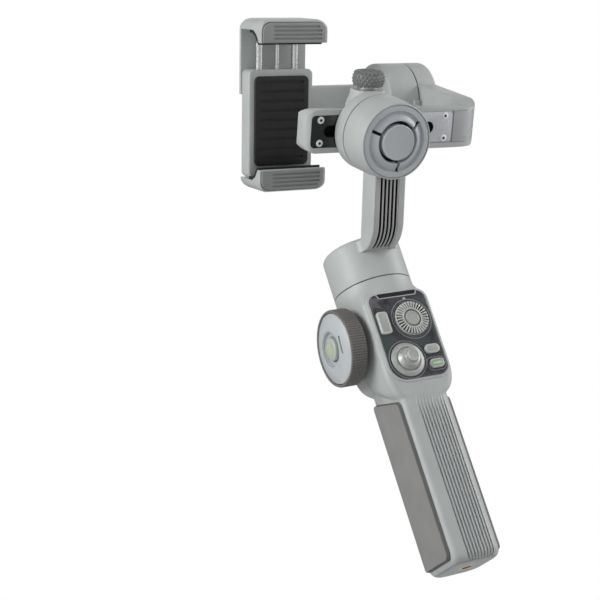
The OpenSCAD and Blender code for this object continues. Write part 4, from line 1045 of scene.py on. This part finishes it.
class GIMBAL_OT_roll_housing(bpy.types.Operator):
    """Shapes the rear housing that the cross arm slides through: disc, strap and the knob's boss"""

    bl_idname = "gimbal.roll_housing"
    bl_label = "Roll housing"

    def execute(self, context):
        housing = seat(turned([(0, 0.35), (20.7, 0.35, 0.15), (20.7, 9.7, 1.0), (0, 9.7)], 5, 128), AWAY)
        strap = seat(prism(rounded_box(8.5, -14.65, 26.7, 14.65, 4.0), -5, 8, 0.8, 3), SIDEWAYS)
        boss = seat(turned([(0, 11.5), (11.3, 11.5), (10.4, 14.0, 4), (9.2, 17.6, 4), (8.9, 20.3, 0.7), (0, 20.3)], 5),
                    KNOB)
        carve(housing, strap, boss, operation="UNION")
        channel = prism([(9.7, -11.65, 2.2), (23.7, -11.65, 8), (23.7, 11.65, 8), (9.7, 11.65, 2.2)], -40, 40)
        carve(housing, seat(channel, SIDEWAYS), seat(rod(3.05, 0, 40), KNOB))
        key = seat(rod(2.9, 9.0, 16.2, 40), AWAY)
        keep("roll_shell", merge(housing, key), BAR, "roll_head", "casing", "roll_housing")
        return {"FINISHED"}


KNOB_LOW, KNOB_H, KNURLS, KNURL_ROWS = 1.4, 6.6, 24, 4


class GIMBAL_OT_knob(bpy.types.Operator):
    """Turns the lock knob and raises its diamond knurling"""

    bl_idname = "gimbal.knob"
    bl_label = "Lock knob"

    def execute(self, context):
        depth = sizes().knurl_depth
        side = [(8.5 - 0.8 * abs(k / 30 - 0.5) ** 2 * 4, KNOB_LOW + KNOB_H * k / 30) for k in range(31)]
        knob = turned([(3.02, 1.0), (6.8, 1.0), (7.4, 1.15)] + side + [
            (7.5, 8.5), (6.9, 8.8), (6.3, 8.6), (5.7, 7.9), (0, 7.9), (0, 6.8), (3.02, 6.8)], steps=264)

        def knurl(x, y, z):
            r = math.hypot(x, y)
            if r < 7.6 or not 1.3 < z < 8.1:
                return x, y, z
            u = math.atan2(y, x) * KNURLS
            v = (z - KNOB_LOW) / KNOB_H * math.pi * KNURL_ROWS
            high = max(0.0, math.cos(u + v) * 0.5 + math.cos(u - v) * 0.5)
            share = (r - depth + depth * 1.4 * high) / r
            return x * share, y * share, z

        at = BAR @ KNOB @ shift(0, 0, 20.8)
        keep("knob_grip", place(knob, knurl), at, "knob", "knob", "lock_knob", 25)
        washer = turned([(3.02, -0.4), (5.6, -0.4, 0.1), (5.6, 1.1), (3.02, 1.1)], 2, 64)
        keep("knob_washer", washer, at, "knob", "steel")
        return {"FINISHED"}


BAR_FACE, BAR_BACK, BAR_LEFT, BAR_HALF = 10.0, 23.4, -37.0, 11.3
LEG_OUT, LEG_IN, LEG_END = 70.2, 59.5, 74
BACK_R, CORNER_R = 9.0, 14.0
FRONT_DROP, LEG_LIFT = 1.5, 1.3
PLATE_LEFT, PLATE_RIGHT, PLATE_HALF = -33.6, 50.5, 8.35
SCREW_X, SCREW_Z = (-28.6, 45.8), 6.0
WRAP_END, WRAP_WALL = 44, 1.2


def beam_edge(x, y, z):
    """Share of the largest rounding that an edge of the cross arm gets."""
    return 0.55 if x > LEG_IN - 6 and z > 0 else 1.0


def beam_top(x, y, z):
    """Lowers the cross arm's top along the plate and raises it along the leg."""
    t = max(0.0, (z - 8.7) / (BAR_HALF - 8.7))
    drop = FRONT_DROP * eased((x - 12) / 20) * (1 - eased((y - 13) / 14))
    lift = LEG_LIFT * eased((x - 46) / 16) * eased((y - 12) / 16)
    return x, y, z + t * (lift - drop)


def back_corner(side):
    """What is cut off along one rear edge of the cross arm to leave it round."""
    y, z, past, top = BAR_BACK - BACK_R, BAR_HALF - BACK_R, BAR_BACK + 3, BAR_HALF + 3
    points = [(y, top)] + arc(y, z, BACK_R, range(90, -1, -9)) + [(past, z), (past, top)]
    return seat(prism([(py, side * pz) for py, pz in points][::side], -60, LEG_IN - 0.3), SIDEWAYS)


def arm_front(grow):
    """Front view of the cross arm, round at its free end and along the leg's outer edges."""
    low, left, right = BAR_HALF + grow, BAR_LEFT - grow, LEG_OUT + grow
    corners = [(left, -low, 6.5), (right, -low, 6.0), (right, -4), (right + 9, -4), (right + 9, low), (left, low, 6.5)]
    return seat(prism(corners, -90, 20, fine=8), UPRIGHT)


def arm_slot(grow=0.0):
    """Outline of the long slot in the cross arm and its plate."""
    return rounded_box(-26.6 - grow, -3.2 - grow, 39 + grow, 3.2 + grow, 3.19 + grow, 10)


def wrap_bend(inset):
    """The corner cover's bend, at some depth under the cross arm's faces."""
    face, out = BAR_FACE + inset, LEG_OUT - inset
    radius = CORNER_R - max(0.0, inset)
    return filleted([(PLATE_RIGHT, face), (out, face, radius), (out, WRAP_END)], 12)[1:-1]


class GIMBAL_OT_cross_arm(bpy.types.Operator):
    """Bends the cross arm, lets its slotted plate in and wraps its corner"""

    bl_idname = "gimbal.cross_arm"
    bl_label = "Cross arm"

    def execute(self, context):
        arm = prism([
            (BAR_LEFT, BAR_FACE, 5), (LEG_OUT, BAR_FACE, CORNER_R), (LEG_OUT, LEG_END), (LEG_IN, LEG_END),
            (LEG_IN, BAR_BACK, 0.5), (BAR_LEFT, BAR_BACK, 5),
        ], -BAR_HALF, BAR_HALF, fine=8)
        carve(arm, arm_front(0.01), operation="INTERSECT")
        carve(arm, back_corner(1), back_corner(-1))
        soften_by(arm, 2.5, beam_edge, 5)
        place(arm, beam_top)
        half = PLATE_HALF + 0.15
        pocket = prism(rounded_box(PLATE_LEFT - 0.15, -half, PLATE_RIGHT + 30, half, 2.2), -10.75, -5)
        carve(arm, seat(prism(arm_slot(), -16.5, -5), UPRIGHT), seat(pocket, UPRIGHT))
        keep("cross_beam", arm, BAR, "arm", "casing", "cross_arm", 40)

        at = BAR @ UPRIGHT
        plate = prism(rounded_box(PLATE_LEFT, -PLATE_HALF, PLATE_RIGHT, PLATE_HALF, 2.0), -10.75, -10.2, 0.15, 2)
        carve(plate, prism(arm_slot(), -20, 0))
        keep("slide_plate", plate, at, "arm", "plate", "arm_plate")
        # Black lining of the slot: painted shade inside it.
        lining = prism(arm_slot(), -16.6, -10.25)
        carve(lining, prism(arm_slot(-0.25), -16.3, -5))
        keep("slot_shade_lining", lining, at, "arm", "void")
        screw = [(0, -15), (1.2, -15), (1.2, -10.5), (1.9, -10.5), (1.9, -9.95, 0.25), (0, -9.85)]
        # Black hexagons on the screws' heads: painted shade in their sockets.
        screws, sockets = [], []
        for where in (shift(x, z, 0) for x in SCREW_X for z in (-SCREW_Z, SCREW_Z)):
            screws.append(seat(turned(screw, 3, 32), where))
            sockets.append(seat(rod(0.8, -10.2, -9.8, 6), where))
        keep("slide_screws", merge(*screws), at, "arm", "bright", "plate_screws")
        keep("screw_socket_shade", merge(*sockets), at, "arm", "black")

        face, out, start = BAR_FACE - 0.02, LEG_OUT + 0.02, PLATE_RIGHT + 0.7
        plan = [(start, face)] + wrap_bend(-0.02) + [(out, WRAP_END), (LEG_OUT - WRAP_WALL, WRAP_END)]
        plan += wrap_bend(WRAP_WALL)[::-1] + [(start, BAR_FACE + WRAP_WALL)]
        cover = prism(plan, -PLATE_HALF, PLATE_HALF, 0.15, 2)
        carve(cover, arm_front(0.05), operation="INTERSECT")
        keep("corner_wrap", cover, BAR, "arm", "wrap", "corner_cover")
        return {"FINISHED"}


TILT_BACK, TILT_R = 80.5, 21.4


class GIMBAL_OT_tilt_motor(bpy.types.Operator):
    """Turns the two halves of the tilt motor, with the lug and the stop on them"""

    bl_idname = "gimbal.tilt_motor"
    bl_label = "Tilt motor"

    def execute(self, context):
        at = BAR @ shift(0, TILT_BACK, 0) @ RIGHT
        fixed = turned([
            (6.0, 62.9), (6.0, 45.7), (7.0, 45.7), (7.0, 59.65), (TILT_R, 59.65, 0.15), (TILT_R, 72.0, 2.2),
            (14, 72.1, 3), (0, 72.1), (0, 62.9),
        ], 6, 128)
        keep("tilt_can", fixed, at, "arm", "casing", "tilt_housing")
        moving = turned([
            (0, 41.0), (TILT_R, 41.0, 1.8), (TILT_R, 58.9, 0.15), (TILT_R - 2, 58.9), (TILT_R - 2, 44.0), (0, 44.0),
        ], 6, 128)
        keep("tilt_shell", moving, at, "clamp", "casing", "tilt_cover")
        # Black ring inside the seam between the two halves: painted shade in the gap.
        seam = turned([(18.5, 58.6), (TILT_R - 0.3, 58.6), (TILT_R - 0.3, 59.5), (18.5, 59.5)])
        keep("tilt_seam", seam, at, "clamp", "black")
        front = BAR @ shift(0, TILT_BACK - TILT_R, 0)
        lug, stop = (block(x0, -1.6, 0.8, x1, 1.2, 4.4, 0.3) for x0, x1 in ((55.2, 58.9), (59.75, 62.4)))
        keep("tilt_lug", lug, front, "clamp", "casing")
        keep("tilt_stop", stop, front, "arm", "dark")
        return {"FINISHED"}


# The phone clamp

CLAMP_LEFT, CLAMP_RIGHT = -36.0, 3.8
JAW_TOP = 46.9
PAD_MARGIN = 1.6
JAW_GROOVES = 4
ROD_X, SPRING_X, ROD_Y = (-27.6, -5.6), -16.6, 7.2


def jaw_solid(skirt):
    """A hooked jaw, as for the upper one: side view pushed across, then rounded at its ends."""
    corners = [(-14, 34.3, 0.8), (-10.4, 34.3, 1.0), (-7.4, 38.6, 3.0), (-3.0, 40.9, 1.0), (12.2, 40.9)]
    if skirt:
        corners += [(12.6, 40.9), (12.6, 5.0, 0.8), (14.6, 5.0, 0.8), (14.6, JAW_TOP, 5)]
    else:
        corners += [(12.2, JAW_TOP, 5)]
    corners += [(-14, JAW_TOP, 4.5)]
    jaw = seat(prism(corners, CLAMP_LEFT, CLAMP_RIGHT), SIDEWAYS)
    top = JAW_TOP + 0.05
    front = [(CLAMP_LEFT, 0, 0.5), (CLAMP_RIGHT, 0, 0.5), (CLAMP_RIGHT, top, 6), (CLAMP_LEFT, top, 6)]
    carve(jaw, seat(prism(front, -30, 30, fine=8), UPRIGHT), operation="INTERSECT")
    soften(jaw, 1.0, 4, 40)
    return jaw


def jaw_pad():
    """Pad on the front of the upper jaw, with grooves that stop short of its ends."""
    left, right, low, high = CLAMP_LEFT + 0.6, CLAMP_RIGHT - PAD_MARGIN, 34.5, JAW_TOP - PAD_MARGIN
    pad = prism([(left, low, 0.6), (right, low, 0.6), (right, high, 5), (left, high, 5)], 13.4, 14.9, 0.4, 3, 8)
    pitch = (high - low) / (JAW_GROOVES + 1)
    grooves = []
    for i in range(JAW_GROOVES):
        z = low + pitch * (i + 1)
        end = right - (3.4 if i == JAW_GROOVES - 1 else 2.0)
        grooves.append(prism(rounded_box(left + 6.5, z - 0.55, end, z + 0.55, 0.54), 14.2, 16, 0.2, 2))
    return seat(carve(pad, *grooves), UPRIGHT)


def jaw_pad_shade_rim():
    """Dark line round the pad of the upper jaw: a dark sheet under the pad, painted shade in the gap."""
    left, right, low, high = CLAMP_LEFT + 0.25, CLAMP_RIGHT - PAD_MARGIN + 0.35, 34.6, JAW_TOP - PAD_MARGIN + 0.35
    corners = [(left, low, 0.6), (right, low, 0.6), (right, high, 5.3), (left, high, 5.3)]
    return seat(prism(corners, 13.4, 14.04, fine=8), UPRIGHT)


def jaw_rubber():
    """Black lining of the upper jaw, thick along the sloping lip."""
    corners = [(-10.5, 33.3, 0.3), (-8.2, 33.3, 0.8), (-5.4, 37.6, 3.0), (-1.6, 39.4, 1.0), (1.6, 39.4, 0.4),
               (1.6, 41.0), (-3.0, 41.0), (-7.5, 38.7, 3.0)]
    return seat(prism(corners, CLAMP_LEFT + 0.25, CLAMP_RIGHT - 1.4, 0.2, 2, 4), SIDEWAYS)


class GIMBAL_OT_clamp(bpy.types.Operator):
    """Builds the clamp's body and arm, its hooked jaws, ribbed pads and black linings"""

    bl_idname = "gimbal.clamp"
    bl_label = "Phone clamp"

    def execute(self, context):
        bores = [(x, 2.0) for x in ROD_X] + [(SPRING_X, 1.2)]
        for jaw, body, lower in (("upper", "jaw", False), ("lower", "clamp", True)):
            hook = jaw_solid(not lower)
            if not lower:
                carve(hook, *[seat(rod(r, 0, 45.3, 32), shift(x, ROD_Y, 0)) for x, r in bores])
            for name, piece, finish, slot, node in (
                ("_hook", hook, "casing", "inlay_plastic", jaw + "_jaw"),
                ("_ribs", jaw_pad(), "trim", "inlay_plastic", None),
                ("_pad_shade_gap", jaw_pad_shade_rim(), "dark", None, None),
                ("_lining", jaw_rubber(), "black", "black_rubber", jaw + "_jaw_rubber"),
            ):
                if lower:
                    recalculate(place(piece, lambda x, y, z: (x, y, -z)))
                keep(jaw + name, piece, CLAMP, body, finish, node)

        outline = rounded_box(CLAMP_LEFT + 0.2, -40.6, CLAMP_RIGHT - 0.2, 19.0, 3.0)
        body = seat(prism(outline, -12.2, -2.2, 1.2, 4), UPRIGHT)
        bores = [(x, 2.05, -38.5) for x in ROD_X] + [(SPRING_X, 3.8, -33)]
        carve(body, *[seat(rod(r, low, 60, 40), shift(x, ROD_Y, 0)) for x, r, low in bores])
        keep("clamp_block", body, CLAMP, "clamp", "casing", "clamp_body")
        at = CLAMP @ UPRIGHT
        cushion = prism(rounded_box(CLAMP_LEFT + 3.5, -34, CLAMP_RIGHT - 3.5, 15.5, 3.0), -2.6, -0.7, 0.4, 3)
        rows = [-30 + 5.2 * i for i in range(9)]
        left, right = CLAMP_LEFT + 6.5, CLAMP_RIGHT - 6.5
        carve(cushion, *[prism(rounded_box(left, z, right, z + 1.4, 0.6), -1.2, 0) for z in rows])
        keep("clamp_cushion", cushion, at, "clamp", "black")
        link = prism(rounded_box(1.5, -9, 42.0, 9, 1.0), -12.2, -2.2, 1.4, 4)
        keep("clamp_link", link, at, "clamp", "casing", "clamp_arm")
        return {"FINISHED"}


class GIMBAL_OT_carried(bpy.types.Operator):
    """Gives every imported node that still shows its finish"""

    bl_idname = "gimbal.carried"
    bl_label = "Packed nodes"

    def execute(self, context):
        for name, node in frame["nodes"].items():
            if not node.hide_render:
                node.data.materials.clear()
                node.data.materials.append(finishes()[SLOT_FINISH[SLOT_OF[name]]])
        return {"FINISHED"}


# Stage

CAMERA_AT = (-373.84, -657.77, -98.25)
CAMERA_RIGHT = (0.89679, -0.34185, -0.28092)
CAMERA_DOWN = (-0.12691, 0.4095, -0.90344)
LENS, SENSOR = 90.03, 36
FLOOR_SIZE, FLOOR_Z = 8, -0.3
FLOOR_GLOW, FLOOR_FADE = 0.9, (0.3, 2.6)
ROOM_LIGHT = 0.3
LIGHTS_AIM = (0, 0, 0.18)
LIGHTS = (
    ("key_light", (-1.45, -0.3, 0.75), 19.5, 0.9),
    ("side_light", (1.35, -0.5, 0.5), 13, 0.9),
    ("front_light", (0.1, -1.2, 0.9), 3, 0.8),
    ("rim_light", (0.6, 1.2, 1.2), 4, 1.0),
)


def paper_floor():
    """Matt paper that turns to white light away from the object, so that it has no horizon."""
    material = moulded("floor_paper", srgb(182, 182, 182), rough=0.8, grain=0.05, mottle=0.01)
    tree = material.node_tree
    shader = tree.nodes["Principled BSDF"].inputs
    away = add(tree, "VectorMath")
    away.operation = "LENGTH"
    tree.links.new(add(tree, "TexCoord").outputs["Object"], away.inputs[0])
    shader["Emission Color"].default_value = (1, 1, 1, 1)
    spread(tree, away.outputs["Value"], shader["Emission Strength"], 0.0, FLOOR_GLOW, *FLOOR_FADE)
    return material


def pale_room():
    """Soft light from all round, dimmer from below, in front of a white surround."""
    world = bpy.data.worlds.new("pale_room")
    world.use_nodes = True
    tree = world.node_tree
    soft = tree.nodes["Background"]
    soft.inputs["Strength"].default_value = ROOM_LIGHT
    white = add(tree, "Background", {"Color": (1, 1, 1, 1), "Strength": 1.0})
    height = add(tree, "SeparateXYZ", Vector=add(tree, "TexCoord").outputs["Generated"]).outputs["Z"]
    ramp(tree, height, soft.inputs["Color"], (0.0, srgb(120, 122, 124)), (1.0, srgb(255, 255, 255)))
    mix = add(tree, "MixShader", Fac=add(tree, "LightPath").outputs["Is Camera Ray"])
    tree.links.new(soft.outputs["Background"], mix.inputs[1])
    tree.links.new(white.outputs["Background"], mix.inputs[2])
    tree.links.new(mix.outputs["Shader"], tree.nodes["World Output"].inputs["Surface"])
    return world


class GIMBAL_OT_stage(bpy.types.Operator):
    """Sets the camera, the soft lights, the pale surround and the floor"""

    bl_idname = "gimbal.stage"
    bl_label = "Stage"

    def execute(self, context):
        scene = bpy.context.scene
        deselect()
        bpy.ops.object.camera_add()
        camera = bpy.context.object
        camera.name = "photo_camera"
        right = Vector(CAMERA_RIGHT).normalized()
        up = -Vector(CAMERA_DOWN)
        up = (up - right * up.dot(right)).normalized()
        axes = Matrix((right, up, right.cross(up))).transposed().to_4x4()
        camera.matrix_world = shift(*CAMERA_AT) @ axes
        camera.data.sensor_width = SENSOR
        camera.data.lens = LENS
        camera.data.clip_start = 0.01
        camera.data.clip_end = 50
        scene.camera = camera

        deselect()
        bpy.ops.mesh.primitive_plane_add(size=FLOOR_SIZE, location=(0, 0, FLOOR_Z))
        floor = bpy.context.object
        floor.name = "floor"
        floor.data.materials.append(paper_floor())

        for name, where, power, size in LIGHTS:
            bpy.ops.object.light_add(type="AREA", location=where)
            lamp = bpy.context.object
            lamp.name = name
            lamp.data.energy = power
            lamp.data.size = size
            lamp.rotation_euler = (Vector(LIGHTS_AIM) - Vector(where)).to_track_quat("-Z", "Y").to_euler()

        scene.world = pale_room()
        scene.view_settings.view_transform = "Standard"
        return {"FINISHED"}


OPERATORS = (
    GIMBAL_OT_stage, GIMBAL_OT_casing, GIMBAL_OT_grip_pads, GIMBAL_OT_panel, GIMBAL_OT_dial, GIMBAL_OT_keys,
    GIMBAL_OT_joystick, GIMBAL_OT_wheel, GIMBAL_OT_trigger, GIMBAL_OT_pan_motor, GIMBAL_OT_pan_arm,
    GIMBAL_OT_roll_motor, GIMBAL_OT_roll_housing, GIMBAL_OT_knob, GIMBAL_OT_cross_arm, GIMBAL_OT_tilt_motor,
    GIMBAL_OT_clamp, GIMBAL_OT_carried,
)


class GIMBAL_PT_panel(bpy.types.Panel):
    """Lists the gimbal's sizes, colours and pieces"""

    bl_idname = "GIMBAL_PT_panel"
    bl_label = "Phone gimbal"
    bl_space_type = "VIEW_3D"
    bl_region_type = "UI"
    bl_category = "Gimbal"

    def draw(self, context):
        layout = self.layout
        for group in (context.scene.gimbal_sizes, context.scene.gimbal_colours):
            for key in group.__annotations__:
                layout.prop(group, key)
        for operator in OPERATORS:
            layout.operator(operator.bl_idname)


CLASSES = (GimbalSizes, GimbalColours, *OPERATORS, GIMBAL_PT_panel)


def register():
    for cls in CLASSES:
        bpy.utils.register_class(cls)
    bpy.types.Scene.gimbal_sizes = bpy.props.PointerProperty(type=GimbalSizes)
    bpy.types.Scene.gimbal_colours = bpy.props.PointerProperty(type=GimbalColours)


def unregister():
    del bpy.types.Scene.gimbal_colours
    del bpy.types.Scene.gimbal_sizes
    for cls in reversed(CLASSES):
        bpy.utils.unregister_class(cls)


def main():
    register()
    for operator in OPERATORS:
        group, name = operator.bl_idname.split(".")
        getattr(getattr(bpy.ops, group), name)()


if __name__ == "__main__":
    main()
